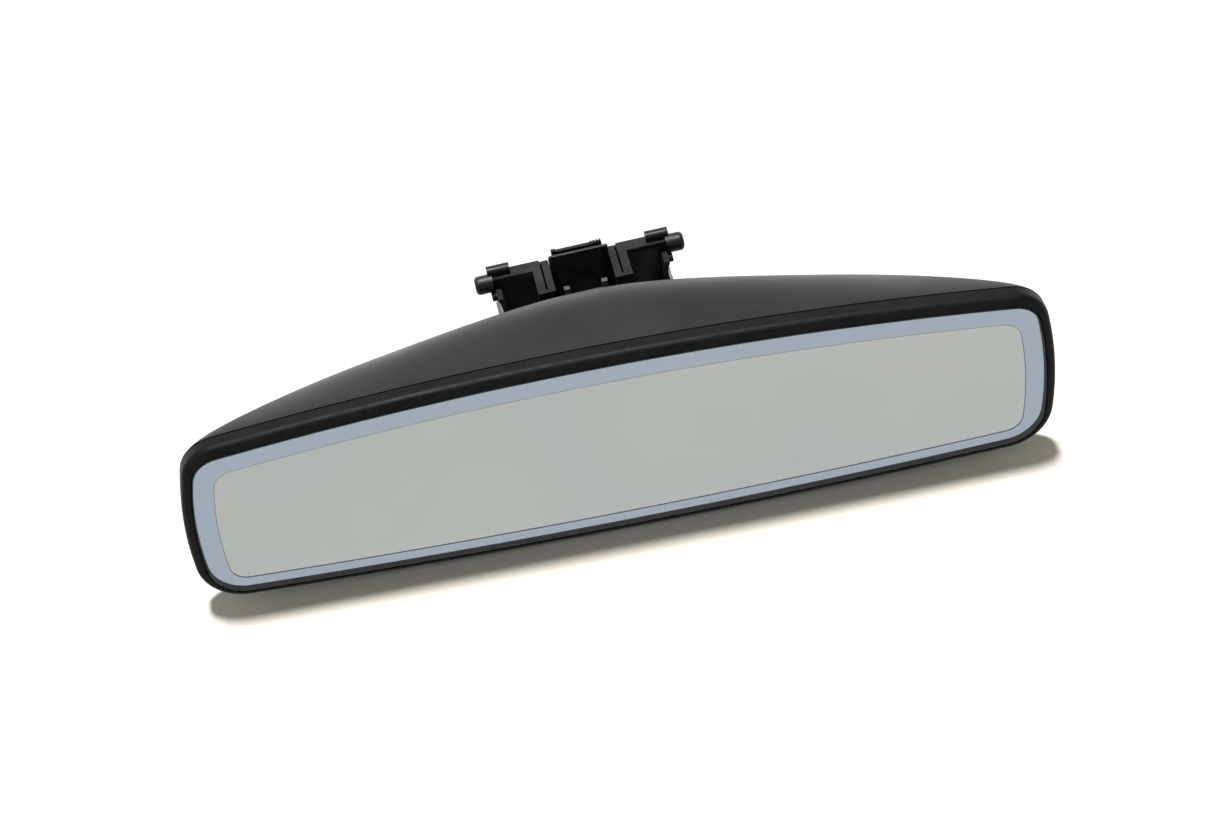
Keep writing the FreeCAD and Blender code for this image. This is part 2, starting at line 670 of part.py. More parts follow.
def wing_profile(y0, y1, inset):
    """The bracket's side outline: a broad shoulder that sweeps in to a narrow rounded foot."""
    shoulder = V(WING_HALF - 1.5 - inset, y0, DECK_Z - inset)
    shoulder_low = V(WING_HALF - 1.5 - inset, y0, DECK_Z - 4.0)
    waist = V(WAIST_HALF - inset, y0, DECK_Z - 12.4)
    hip_mid = V((WAIST_HALF + FOOT_HALF) / 2 + 1.6 - inset, y0, -2.5)
    foot = V(FOOT_HALF - inset, y0, FOOT_Z + inset)
    neck_mid = V(WAIST_HALF - 1.4 - inset, y0, DECK_Z - 7.0)
    edges = [
        Part.makeLine(V(0, y0, DECK_Z - inset), shoulder),
        Part.makeLine(shoulder, shoulder_low),
        Part.Arc(shoulder_low, neck_mid, waist).toShape(),
        Part.Arc(waist, hip_mid, foot).toShape(),
        Part.makeLine(foot, V(0, y0, FOOT_Z + inset)),
        Part.makeLine(V(0, y0, FOOT_Z + inset), V(0, y0, DECK_Z - inset)),
    ]
    half = Part.Face(Part.Wire(edges)).extrude(V(0, y1 - y0, 0))
    return fuse(both_sides(half))


def mount_bracket():
    """Moulded bracket: web, rim walls, two long ribs, stud wall, deck, hooks and latch tabs."""
    wall = 2.0
    web = wing_profile(WEB_FRONT_Y, WEB_BACK_Y, 0)
    rim = wing_profile(WEB_BACK_Y, SEAT_Y, 0).cut(wing_profile(WEB_BACK_Y - 1, SEAT_Y + 1, wall))
    side = wing_profile(WEB_FRONT_Y - 5.5, WEB_FRONT_Y, 0)
    side = side.cut(wing_profile(WEB_FRONT_Y - 8, WEB_FRONT_Y + 1, wall - 0.4))
    side = side.cut(box(-99, 99, 0, WEB_FRONT_Y - 0.01, DECK_Z - 3.4, 99))
    ribs = both_sides(rib())
    stud_wall = box(-RIB_OUTER_X, RIB_OUTER_X, STUD_WALL_Y, STUD_WALL_Y + STUD_WALL_T, FOOT_Z, 9.0)
    shelf = box(-RIB_OUTER_X, RIB_OUTER_X, STUD_WALL_Y, SEAT_Y, FOOT_Z, FOOT_Z + 2.0)
    deck = both_sides(box(RIB_INNER_X, WING_HALF, WEB_FRONT_Y, SEAT_Y, DECK_Z - 2.2, DECK_Z))
    well = box(-RIB_INNER_X, RIB_INNER_X, STUD_WALL_Y + STUD_WALL_T, SEAT_Y + 1, FOOT_Z + 2.0, DECK_Z + 9)
    base = fuse([web, rim, side]).cut(well)
    bosses = []
    for x in (-COVER_SCREW_X, COVER_SCREW_X):
        bosses.append(rod(x, COVER_SCREW_Z, BOSS_R - 0.4, STUD_WALL_Y + STUD_WALL_T, COVER_Y))
    parts = [base, stud_wall, shelf] + ribs + deck + bosses
    for piece in (hook(), latch_tab(), pivot_lug()):
        parts += both_sides(piece)
    bracket = fuse(parts)
    bracket = bracket.cut(rod(0, 0, SPIGOT_R + FIT, STUD_WALL_Y - 1, NUT_Y + 1))
    for x in (-COVER_SCREW_X, COVER_SCREW_X):
        bracket = bracket.cut(rod(x, COVER_SCREW_Z, SCREW_R + THREAD_GAP, COVER_Y - 8.5, COVER_Y + 1))
    recess_half = COVER_HALF + FIT
    recess = box(-recess_half, recess_half, COVER_Y, SEAT_Y + 1, COVER_BOTTOM_Z - FIT, COVER_TOP_Z + FIT)
    return bracket.cut(recess)


def rib():
    """Long wall beside the connector, cut back below where the head swings."""
    return box(RIB_INNER_X, RIB_OUTER_X, RIB_FRONT_Y, SEAT_Y, FOOT_Z, DECK_Z)


def latch_tab():
    """Spring tab split from the rib by a thin slot, joined to it at the front, and the slot's back wall."""
    tab_out = RIB_INNER_X - SLOT_W
    tab_in = tab_out - TAB_T
    low = DECK_Z - TAB_HEIGHT
    back = SEAT_Y - SLOT_BACK_T
    tab = box(tab_in, tab_out, RIB_FRONT_Y, back - SLOT_W, low, DECK_Z)
    bridge = box(tab_in, RIB_INNER_X, RIB_FRONT_Y, RIB_FRONT_Y + 1.4, low, DECK_Z)
    wall = box(tab_in, RIB_INNER_X, back, SEAT_Y, COVER_TOP_Z, DECK_Z - 0.6)
    return fuse([tab, bridge, wall])


def hook():
    """Rounded catch that stands on the deck's rear edge beside the lug."""
    height = 2.6
    catch = box(WING_HALF - 6.8, WING_HALF, SEAT_Y - 3.2, SEAT_Y, DECK_Z - 1, DECK_Z + height)
    edges = [e for e in catch.Edges if e.BoundBox.XLength > 6.0 and e.BoundBox.ZMin > DECK_Z + height - 0.1]
    return catch.makeFillet(1.3, edges)


def pivot_lug():
    """Round-ended peg on an ear at the wing's end, with the small knob under its root."""
    start = WING_HALF - LUG_ROOT
    length = LUG_END - LUG_R * 0.55 - start
    peg = Part.makeCylinder(LUG_R, length, V(start, LUG_Y, LUG_Z), V(1, 0, 0))
    tip = [e for e in peg.Edges if e.BoundBox.XMin > start + length - 0.01]
    peg = peg.makeFillet(LUG_R * 0.45, tip)
    knob = Part.makeCylinder(1.3, 3.2, V(WING_HALF - 3.2, WEB_FRONT_Y - 1.2, LUG_Z - 3.4), V(1, 0, 0))
    ear = box(WING_HALF - 2.4, WING_HALF, WEB_FRONT_Y, SEAT_Y, LUG_Z - LUG_R - 1.6, DECK_Z)
    return fuse([peg, knob, ear])


def connector_block():
    """Connector shroud between the ribs, open at the top for the plug, with a tall front wall."""
    body = box(-BLOCK_HALF, BLOCK_HALF, BLOCK_FRONT_Y, SEAT_Y, COVER_TOP_Z + FIT, BLOCK_BACK_TOP_Z)
    foot = box(-BLOCK_HALF - 1, BLOCK_HALF + 1, COVER_Y - FIT, SEAT_Y + 1, 0, BLOCK_BOTTOM_Z)
    below = box(-BLOCK_HALF - 1, BLOCK_HALF + 1, 0, COVER_Y, 0, BLOCK_BOTTOM_Z)
    front = box(-BLOCK_HALF, BLOCK_HALF, BLOCK_FRONT_Y, BLOCK_FRONT_Y + BLOCK_WALL, BLOCK_BOTTOM_Z,
                BLOCK_FRONT_TOP_Z)
    well = box(-BLOCK_HALF + 1.5, BLOCK_HALF - 1.5, BLOCK_FRONT_Y + BLOCK_WALL, SEAT_Y - CAP_T,
               PLUG_DEPTH_Z, BLOCK_FRONT_TOP_Z)
    feet = box(-RIB_INNER_X, RIB_INNER_X, BLOCK_FRONT_Y + 0.6, COVER_Y - 0.6, BLOCK_BOTTOM_Z,
               BLOCK_BOTTOM_Z + 2.0)
    return fuse([body.cut(foot).cut(below), front, feet]).cut(well)


CAP_T = 1.1


def connector_cap():
    """Lock bar on top of the connector's back wall, with grip ridges at one end."""
    top = BLOCK_BACK_TOP_Z + CAP_HEIGHT
    bar = box(-BLOCK_HALF + 1.2, BLOCK_HALF - 1.2, SEAT_Y - CAP_T, SEAT_Y, BLOCK_BACK_TOP_Z, top)
    ridges = [box(-BLOCK_HALF + 1.2, -BLOCK_HALF + 2.6, SEAT_Y - CAP_T, SEAT_Y, top, top + 0.4)]
    for i in range(4):
        x = BLOCK_HALF - 1.6 - 0.9 * i
        ridges.append(box(x - 0.3, x + 0.3, SEAT_Y - CAP_T, SEAT_Y, top, top + 0.4))
    return fuse([bar] + ridges)


PIN_XS = [-4.2, -1.4, 1.4, 4.2]


def connector_pins():
    pins = []
    middle_y = (BLOCK_FRONT_Y + BLOCK_WALL + SEAT_Y - CAP_T) / 2
    for x in PIN_XS:
        pins.append(box(x - 0.32, x + 0.32, middle_y - 0.32, middle_y + 0.32, PLUG_DEPTH_Z,
                        PLUG_DEPTH_Z + 4.0))
    return Part.makeCompound(pins)


def guide_posts():
    """Two upright posts on a thin ledge, in front of the connector."""
    post_x = 5.6
    front = RIB_FRONT_Y + 0.9
    ledge_z = 14.2
    arm_z = 11.6
    ledge = box(-post_x - 0.9, post_x + 0.9, front, front + 1.6, arm_z - 1.2, ledge_z)
    posts = []
    arms = []
    for x in (-post_x, post_x):
        posts.append(box(x - 0.9, x + 0.9, front, front + 1.6, ledge_z, ledge_z + 3.2))
        arms.append(box(x - 0.6, x + 0.6, front + 1.6, BLOCK_FRONT_Y, arm_z - 1.2, arm_z))
    return fuse([ledge] + posts + arms)


def mount_cover():
    cover = box(-COVER_HALF, COVER_HALF, COVER_Y, SEAT_Y, COVER_BOTTOM_Z, COVER_TOP_Z)
    corners = [e for e in cover.Edges if e.BoundBox.YLength > COVER_T - 0.01]
    cover = cover.makeFillet(0.8, corners)
    for x in (-COVER_SCREW_X, COVER_SCREW_X):
        cover = cover.cut(rod(x, COVER_SCREW_Z, SCREW_R + FIT, COVER_Y - 1, SEAT_Y + 1))
        cover = cover.cut(rod(x, COVER_SCREW_Z, SCREW_HEAD_R + FIT, SEAT_Y - SCREW_HEAD_T, SEAT_Y + 1))
    return cover


def cover_screws():
    screws = []
    for x in (-COVER_SCREW_X, COVER_SCREW_X):
        head = rod(x, COVER_SCREW_Z, SCREW_HEAD_R, SEAT_Y - SCREW_HEAD_T, SEAT_Y - 0.1)
        shank = rod(x, COVER_SCREW_Z, SCREW_R, COVER_Y - 8.0, SEAT_Y - SCREW_HEAD_T)
        slot = rod(x, COVER_SCREW_Z, SCREW_R * 0.8, SEAT_Y - 0.8, SEAT_Y)
        screws.append(fuse([head, shank]).cut(slot))
    return Part.makeCompound(screws)


# ---- Harness ----

def tube(points, radius, bend):
    """A round lead: straight runs through the points, joined by arcs of the given radius."""
    edges = []
    start = points[0]
    for before, corner, after in zip(points, points[1:], points[2:]):
        into = (corner - before).normalize()
        out = (after - corner).normalize()
        turn = into.getAngle(out)
        cut = bend * math.tan(turn / 2)
        first = corner - into * cut
        last = corner + out * cut
        centre_way = (out - into).normalize()
        middle = corner + centre_way * (bend / math.cos(turn / 2) - bend)
        edges.append(Part.makeLine(start, first))
        edges.append(Part.Arc(first, middle, last).toShape())
        start = last
    edges.append(Part.makeLine(start, points[-1]))
    path = Part.Wire(edges)
    way = (points[1] - points[0]).normalize()
    section = Part.Wire([Part.makeCircle(radius, points[0], way)])
    return path.makePipeShell([section], True, False)


def mount_harness():
    """Sleeved leads from the connector through the bore to the mouth of the ball."""
    rise_y = STUD_END_Y + 2.6
    points = [V(0, rise_y, BLOCK_BOTTOM_Z), V(0, rise_y, 0), V(0, BALL_Y - BALL_R + 3.0, 0)]
    return tube(points, HARNESS_R, 2.4)


def head_harness():
    """Sleeved leads from the socket's mouth to the header on the board."""
    well_y = BOARD_BACK_Y + 3.0
    points = [V(0, BALL_Y - BALL_R - 0.8, 0), V(0, LEAD_Y, 0), V(-14, LEAD_Y, -4),
              V(HEADER_X, LEAD_Y, HEADER_Z), V(HEADER_X, well_y, HEADER_Z)]
    return tube(points, HARNESS_R, 2.0)


# ---- Build ----

write("rear_case", rear_case())
write("ambient_lens", ambient_lens())
write("bezel", bezel())
write("front_glass", front_glass())
write("chrome_ring", chrome_ring())
write("edge_seal", edge_seal())
write("ec_gel", ec_gel())
write("mirror_coating", mirror_coating())
write("rear_glass", rear_glass())
write("bus_clip_top", bus_clip(1))
write("bus_clip_bottom", bus_clip(-1))
write("foam_tape", foam_tape())
write("carrier_plate", carrier_plate())
write("carrier_screws", carrier_screws())
write("circuit_board", circuit_board())
write("board_screws", board_screws())
write("board_chips", board_chips())
write("board_capacitors", board_capacitors())
write("board_header", board_header())
write("glare_sensor", glare_sensor())
write("ambient_sensor", ambient_sensor())
write("head_harness", head_harness())
write("socket_cup", socket_cup())
write("socket_screws", socket_screws())
write("retaining_plate", retaining_plate())
write("friction_liner", friction_liner())
write("retainer_ring", retainer_ring())
write_mount("ball_stud", ball_stud())
write_mount("stud_nut", stud_nut())
write_mount("mount_bracket", mount_bracket())
write_mount("connector_block", connector_block())
write_mount("connector_cap", connector_cap())
write_mount("connector_pins", connector_pins())
write_mount("guide_posts", guide_posts())
write_mount("mount_cover", mount_cover())
write_mount("cover_screws", cover_screws())
write_mount("mount_harness", mount_harness())
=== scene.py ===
import math

import bmesh
import bpy
import numpy as np
from mathutils import Matrix, Vector


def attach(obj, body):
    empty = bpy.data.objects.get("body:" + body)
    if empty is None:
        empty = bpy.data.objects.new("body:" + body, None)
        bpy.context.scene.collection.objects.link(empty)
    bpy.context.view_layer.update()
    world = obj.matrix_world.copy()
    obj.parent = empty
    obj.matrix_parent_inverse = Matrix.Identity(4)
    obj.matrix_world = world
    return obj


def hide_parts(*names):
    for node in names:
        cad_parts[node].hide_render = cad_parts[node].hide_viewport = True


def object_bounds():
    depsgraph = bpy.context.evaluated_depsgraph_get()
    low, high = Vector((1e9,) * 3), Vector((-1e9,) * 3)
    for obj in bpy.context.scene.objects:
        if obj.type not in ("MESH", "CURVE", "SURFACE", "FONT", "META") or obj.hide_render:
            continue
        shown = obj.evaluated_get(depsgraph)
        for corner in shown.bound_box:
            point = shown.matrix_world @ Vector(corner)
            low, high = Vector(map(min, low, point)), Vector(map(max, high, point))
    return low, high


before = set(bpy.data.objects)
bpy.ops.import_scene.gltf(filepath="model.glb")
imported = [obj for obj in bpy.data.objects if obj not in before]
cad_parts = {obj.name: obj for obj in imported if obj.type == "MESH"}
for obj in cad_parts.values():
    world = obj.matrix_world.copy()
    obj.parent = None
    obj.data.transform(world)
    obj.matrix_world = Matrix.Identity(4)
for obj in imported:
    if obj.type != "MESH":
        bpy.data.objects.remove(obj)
cad_low, cad_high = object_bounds()


# ---- Studio: camera, floor and light ----
# A camera above and in front of the mirror, a pale sheet of board under it and soft light from
# above and behind, as for a catalogue picture. None of it is part of the mirror.

SEAT_DEPTH = 66.1  # mm from the front of the glass back to the bracket's seat face, which is y = 0
CAMERA_TURNS = (42.03, 6.215, -6.576)  # degrees: tipped down, turned aside and rolled
CAMERA_REACH = (5.672, 10.614, 688.825)  # mm to the middle of the glass, along the camera's axes
FOCAL_LENGTH = 2458.694  # in the same units as the frame's width
FRAME_WIDTH = 1214
SENSOR_WIDTH = 36.0
BOARD_HALF = 6.0  # metres
SUN_STRENGTH = 3.75
SUN_SPREAD = 6  # degrees
SUN_AIM = (0.05, -0.133, -1.0)

# The room's light by direction, as smooth ramps along one axis: where a ramp starts and ends, and
# the light at its two ends. It is dim overhead, with a bright white backdrop behind, a window on
# the left, a weak fill low in front and a pale table.
RAMPS = {
    "behind": ("Y", 0.0, 0.7, 0.0, 1.0),
    "low behind": ("Z", 0.1, 0.6, 1.9, 0.0),
    "window": ("X", -0.35, -0.85, 0.0, 0.6),
    "ahead": ("Y", -0.1, -0.6, 0.0, 0.62),
    "low ahead": ("Z", 0.3, 0.65, 1.0, 0.0),
    "table": ("Z", 0.15, -0.35, 0.16, 0.65),
}


def studio_camera():
    """Stand the camera on the mirror's middle axes: turned by psi about Z, tipped down by phi
    about X, then rolled by rho about its own axis. The rows of the product are its axes."""
    phi, psi, rho = np.radians(CAMERA_TURNS)

    def turn(angle, i, j):
        spin = np.eye(3)
        spin[i, i] = spin[j, j] = math.cos(angle)
        spin[i, j] = -math.sin(angle)
        spin[j, i] = math.sin(angle)
        return spin

    stand = np.array([[1, 0, 0], [0, 0, -1], [0, 1, 0]], float)
    axes = turn(rho, 0, 1) @ stand @ turn(phi, 1, 2) @ turn(psi, 0, 1)
    place = (-axes.T @ np.array(CAMERA_REACH) - np.array([0, SEAT_DEPTH, 0])) / 1000
    pose = np.eye(4)
    pose[:3, :3] = np.column_stack([axes[0], -axes[1], -axes[2]])
    pose[:3, 3] = place
    lens = bpy.data.cameras.new("studio_camera")
    lens.sensor_width = SENSOR_WIDTH
    lens.lens = SENSOR_WIDTH * FOCAL_LENGTH / FRAME_WIDTH
    lens.clip_start = 0.01
    lens.clip_end = 50.0
    camera = bpy.data.objects.new("studio_camera", lens)
    bpy.context.scene.collection.objects.link(camera)
    camera.matrix_world = Matrix([list(row) for row in pose])
    bpy.context.scene.camera = camera


def linear(code):
    """An sRGB hex colour as linear RGBA: each channel c becomes ((c + 0.055) / 1.055) ** 2.4."""
    shares = [int(code[i:i + 2], 16) / 255 for i in (1, 3, 5)]
    lit = [s / 12.92 if s <= 0.04045 else ((s + 0.055) / 1.055) ** 2.4 for s in shares]
    return (*lit, 1.0)


def add(tree, kind, settings=(), **sockets):
    """Add one node. settings are its properties; sockets are input names with _ for a space, or
    _ and the input's number, each given a value or another node's output."""
    node = tree.nodes.new(kind)
    for name, value in dict(settings).items():
        setattr(node, name, value)
    for name, value in sockets.items():
        number = name[1:]
        socket = node.inputs[int(number) if number.isdigit() else name.replace("_", " ")]
        if isinstance(value, bpy.types.NodeSocket):
            tree.links.new(value, socket)
        else:
            socket.default_value = value
    return node


def blank(name):
    """A new material and its empty node tree."""
    material = bpy.data.materials.new(name)
    material.use_nodes = True
    material.node_tree.nodes.clear()
    return material, material.node_tree


studio_camera()

# Matt white board scatters all of its light, so it gives the eye an even pale ground and a soft
# warm shadow.
board_white, tree = blank("matt white board")
shade = add(tree, "ShaderNodeBsdfPrincipled", Base_Color=linear("#f2ebdf"), Roughness=0.6,
            Specular_IOR_Level=0.2)
add(tree, "ShaderNodeOutputMaterial", Surface=shade.outputs[0])
floor_z = cad_low[2]
floor_mesh = bpy.data.meshes.new("floor")
floor_mesh.from_pydata([(-BOARD_HALF, -BOARD_HALF, floor_z), (BOARD_HALF, -BOARD_HALF, floor_z),
                        (BOARD_HALF, BOARD_HALF, floor_z), (-BOARD_HALF, BOARD_HALF, floor_z)],
                       [], [(0, 1, 2, 3)])
floor_mesh.materials.append(board_white)
floor = bpy.data.objects.new("floor", floor_mesh)
bpy.context.scene.collection.objects.link(floor)

# The board is left out of reflections, so the glass and the case reflect the room's even table.
floor.visible_glossy = False
floor.visible_transmission = False

world = bpy.data.worlds.new("studio")
world.use_nodes = True
room = world.node_tree
way = add(room, "ShaderNodeSeparateXYZ", Vector=add(room, "ShaderNodeTexCoord").outputs["Generated"])
glow = {}
for name, (axis, start, stop, first, last) in RAMPS.items():
    ramp = add(room, "ShaderNodeMapRange", {"interpolation_type": "SMOOTHSTEP"}, Value=way.outputs[axis],
               From_Min=start, From_Max=stop, To_Min=first, To_Max=last)
    glow[name] = ramp.outputs[0]
backdrop = add(room, "ShaderNodeMath", {"operation": "MULTIPLY"}, _0=glow["behind"], _1=glow["low behind"])
fill = add(room, "ShaderNodeMath", {"operation": "MULTIPLY"}, _0=glow["ahead"], _1=glow["low ahead"])
brightest = glow["table"]
for light in (backdrop.outputs[0], fill.outputs[0], glow["window"]):
    brightest = add(room, "ShaderNodeMath", {"operation": "MAXIMUM"}, _0=brightest, _1=light).outputs[0]
sky = room.nodes["Background"]
sky.inputs["Color"].default_value = linear("#f8f9f8")
room.links.new(brightest, sky.inputs["Strength"])
bpy.context.scene.world = world
lamp = bpy.data.lights.new("top light", "SUN")
lamp.energy = SUN_STRENGTH
lamp.angle = math.radians(SUN_SPREAD)
holder = bpy.data.objects.new("top light", lamp)
bpy.context.scene.collection.objects.link(holder)
holder.rotation_euler = Vector(SUN_AIM).to_track_quat("-Z", "Y").to_euler()
bpy.context.scene.view_settings.view_transform = "Standard"
bpy.context.scene.view_settings.look = "None"


# ---- Rear case ----
# The crowned shell behind the glass: black ABS, injection moulded in one piece with a fine
# spark-eroded texture, a round neck opening at the back and bosses for its screws inside.

# An outline's sizes are its half-width, top and bottom, the bow radii of its top, bottom and side
# edges, the height of the side bows' centres, and the radii of its top and bottom corners.
GLASS = (122.2, 30.0, -31.2, 930.0, 2184.0, 121.0, -9.2, 8.7, 11.1)
SEAM = (125.3, 33.24, -33.24, 933.24, 2186.04, 124.1, -9.2, 11.8, 13.14)
ARC_STEPS = (60, 16, 26, 16, 60)  # grid steps along the top, corner, side, corner and bottom

CROWN_FRONT = 5.9
CROWN_DEPTH = 38.9
CROWN_END = 0.964  # share of the depth where the crown is cut flat
WIDTH_LAW = (0.69, 1.38, 1.345)  # the numbers of the laws that crown() gives in words
HEIGHT_LAW = (4.98, 0.563)
RIDGE_Z = 2.8  # the height that the crown's top falls to
TOP_BOW = (8.41, 3.4)  # how much an edge is bowed at the front, and how much more at the back
LOW_BOW = (3.59, 5.0)
CORNER_SHARE = 0.4  # a corner's radius as a share of the height left between the bows
LEAST_CORNER = 1.0
CASE_BACK_Y = 43.4  # the crown's flat end, to the nearest 0.1 mm
CASE_WALL = 2.2
OPENING_R = 10.8
COLLAR_R = 12.2
COLLAR_HEIGHT = 0.9
COLLAR_ROUND = 0.4
MOUTH_ROUND = 0.2
SKIN_RINGS = (64, 1.6)  # number of rings, and how much closer they get towards the back
LINING_RINGS = (26, 1.5)
SMOOTH_TURN = 35.0  # degrees, up to which faces are shaded as one surface

LENS_HOLE = (-42.0, 9.0, 3.75)  # x, z and radius
LENS_HOLE_REACH = (24.5, 46.0)  # from inside the wall to clear of the skin
HOLE_STEPS = 48

BOSS_R = 3.0
BOSS_BORE_R = 1.45
BOSS_STEPS = 32
BOSS_COVERED = 0.7  # left between the end of a boss and the outside of the skin
# Each boss's x, z and front end: four near the ends for the carrier, and four for the socket cup.
BOSSES = [(x, z, 6.85) for x in (-96.0, 96.0) for z in (-13.0, 11.0)]
BOSSES += [(x, z, 26.9) for x in (-19.0, 19.0) for z in (-8.5, 8.5)]


def outline(size):
    """A closed outline of bowed edges and round corners, as x and z with one row for each size.
    Each corner's centre is where two circles cross: the top and side circles, shrunk by the
    corner's radius. Each arc then runs between the angles of those centres."""
    half, top, bottom, r_top, r_low, r_side, z_side, c_top, c_low = [
        np.asarray(v, float).reshape(-1, 1) for v in size]
    rows = max(v.shape[0] for v in (half, top, bottom, c_top, c_low))
    side_x = half - r_side

    def crossing(z1, r1, r2):
        dz = z_side - z1
        gap = np.hypot(side_x, dz)
        along = (r1 ** 2 - r2 ** 2 + gap ** 2) / (2 * gap)
        across = np.sqrt(np.maximum(r1 ** 2 - along ** 2, 0)) * np.sign(dz)
        return (along * side_x + across * dz) / gap, z1 + (along * dz - across * side_x) / gap

    top_z, low_z = top - r_top, bottom + r_low
    ux, uz = crossing(top_z, r_top - c_top, r_side - c_top)
    lx, lz = crossing(low_z, r_low - c_low, r_side - c_low)
    a1 = np.arctan2(uz - top_z, ux)
    a2 = np.arctan2(uz - z_side, ux - side_x)
    a3 = np.arctan2(lz - z_side, lx - side_x)
    a4 = np.arctan2(lz - low_z, lx)
    quarter = np.full_like(a1, math.pi / 2)
    arcs = [(0 * half, top_z, r_top, quarter, a1), (ux, uz, c_top, a1, a2),
            (side_x, z_side, r_side, a2, a3), (lx, lz, c_low, a3, a4),
            (0 * half, low_z, r_low, a4, -quarter)]
    xs, zs = [], []
    for (cx, cz, radius, start, stop), steps in zip(arcs, ARC_STEPS):
        angle = start + (stop - start) * np.linspace(0, 1, steps, endpoint=False)
        xs.append(np.broadcast_to(cx + radius * np.cos(angle), (rows, steps)))
        zs.append(np.broadcast_to(cz + radius * np.sin(angle), (rows, steps)))
    xs.append(np.zeros((rows, 1)))
    zs.append(np.broadcast_to(bottom, (rows, 1)))
    x, z = np.hstack(xs), np.hstack(zs)
    return np.hstack([x, -x[:, -2:0:-1]]), np.hstack([z, z[:, -2:0:-1]])


def grown(size, out):
    """The sizes of the parallel outline, out millimetres further out."""
    half, top, bottom, r_top, r_low, r_side, z_side, c_top, c_low = size
    return (half + out, top + out, bottom - out, r_top + out, r_low + out, r_side + out, z_side,
            c_top + out, c_low + out)


def rings_at(x, y, z):
    """Stack x, y and z rows, in millimetres from the glass front, as rings of points."""
    x, y, z = np.broadcast_arrays(x, np.asarray(y, float).reshape(-1, 1), z)
    return np.stack([x, y, z], axis=-1)


def piece_of(mesh, material, body, node):
    """Show a mesh as a piece with its finish, on its body, in place of its CAD node if it has one."""
    mesh.materials.clear()
    mesh.materials.append(material)
    piece = bpy.data.objects.new(mesh.name, mesh)
    bpy.context.scene.collection.objects.link(piece)
    if node:
        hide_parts(node)
    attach(piece, body)
    return piece


def mesh_of(name, points, faces):
    """A mesh in metres from the seat face, of points in millimetres from the glass front."""
    mesh = bpy.data.meshes.new(name)
    mesh.from_pydata(((points - [0, SEAT_DEPTH, 0]) / 1000).tolist(), [], faces)
    return mesh


def surface(name, rings, material, body, node, looped=True, smooth=SMOOTH_TURN):
    """A piece from a grid of rings. Each ring closes on itself. The rings either close on the
    first again, like a rubber ring, or end in two flat faces. The signed volume, a sum of
    tetrahedra to the middle, says whether the faces have to be turned to point outwards."""
    count, around = rings.shape[:2]
    points = rings.reshape(-1, 3)
    r, c = np.meshgrid(np.arange(count if looped else count - 1), np.arange(around), indexing="ij")
    r2, c2 = (r + 1) % count, (c + 1) % around
    corners = [r * around + c, r * around + c2, r2 * around + c2, r2 * around + c]
    quads = np.stack(corners, -1).reshape(-1, 4)
    faces = [tuple(q) for q in quads.tolist()]
    if not looped:
        faces.append(tuple(range(around - 1, -1, -1)))
        faces.append(tuple(range((count - 1) * around, count * around)))
    p = points[quads] - points.mean(0)
    volume = np.einsum("ij,ij->i", p[:, 0], np.cross(p[:, 1], p[:, 2])).sum()
    volume += np.einsum("ij,ij->i", p[:, 0], np.cross(p[:, 2], p[:, 3])).sum()
    if volume < 0:
        faces = [f[::-1] for f in faces]
    mesh = mesh_of(name, points, faces)
    mesh.polygons.foreach_set("use_smooth", [True] * len(faces))
    mesh.set_sharp_from_angle(angle=math.radians(smooth))
    return piece_of(mesh, material, body, node)


def moulded(name, dark, light, grain, depth, rough, ior=1.53, patch=24.0, metal=0.0, sheen=0.5):
    """A moulded, cast or rolled finish. Fine grain, grain mm wide and depth mm deep, lifts the
    surface. Soft patches, patch mm wide, shift colour and roughness a little, as tool wear,
    flow and handling do."""
    fine_share = 0.45
    low, high = 0.5, 0.95  # where the mixed noise starts and ends its work
    material, tree = blank(name)
    where = add(tree, "ShaderNodeTexCoord").outputs["Object"]
    fine = add(tree, "ShaderNodeTexNoise", Vector=where, Scale=1000 / grain / 2, Detail=3.0, Roughness=0.6)
    broad = add(tree, "ShaderNodeTexNoise", Vector=where, Scale=1000 / patch, Detail=2.0, Roughness=0.5)
    both = add(tree, "ShaderNodeMath", {"operation": "MULTIPLY_ADD"}, _0=fine.outputs["Fac"], _1=fine_share,
               _2=broad.outputs["Fac"])
    share = add(tree, "ShaderNodeMapRange", Value=both.outputs[0], From_Min=low, From_Max=high)
    tint = add(tree, "ShaderNodeMix", {"data_type": "RGBA"}, _0=share.outputs[0], _6=linear(dark),
               _7=linear(light))
    dull = add(tree, "ShaderNodeMapRange", Value=both.outputs[0], From_Min=low, From_Max=high,
               To_Min=rough[0], To_Max=rough[1])
    lift = add(tree, "ShaderNodeBump", Height=fine.outputs["Fac"], Strength=1.0, Distance=depth / 1000)
    shade = add(tree, "ShaderNodeBsdfPrincipled", Base_Color=tint.outputs[2], Roughness=dull.outputs[0],
                Normal=lift.outputs[0], Metallic=metal, IOR=ior, Specular_IOR_Level=sheen)
    add(tree, "ShaderNodeOutputMaterial", Surface=shade.outputs[0])
    return material


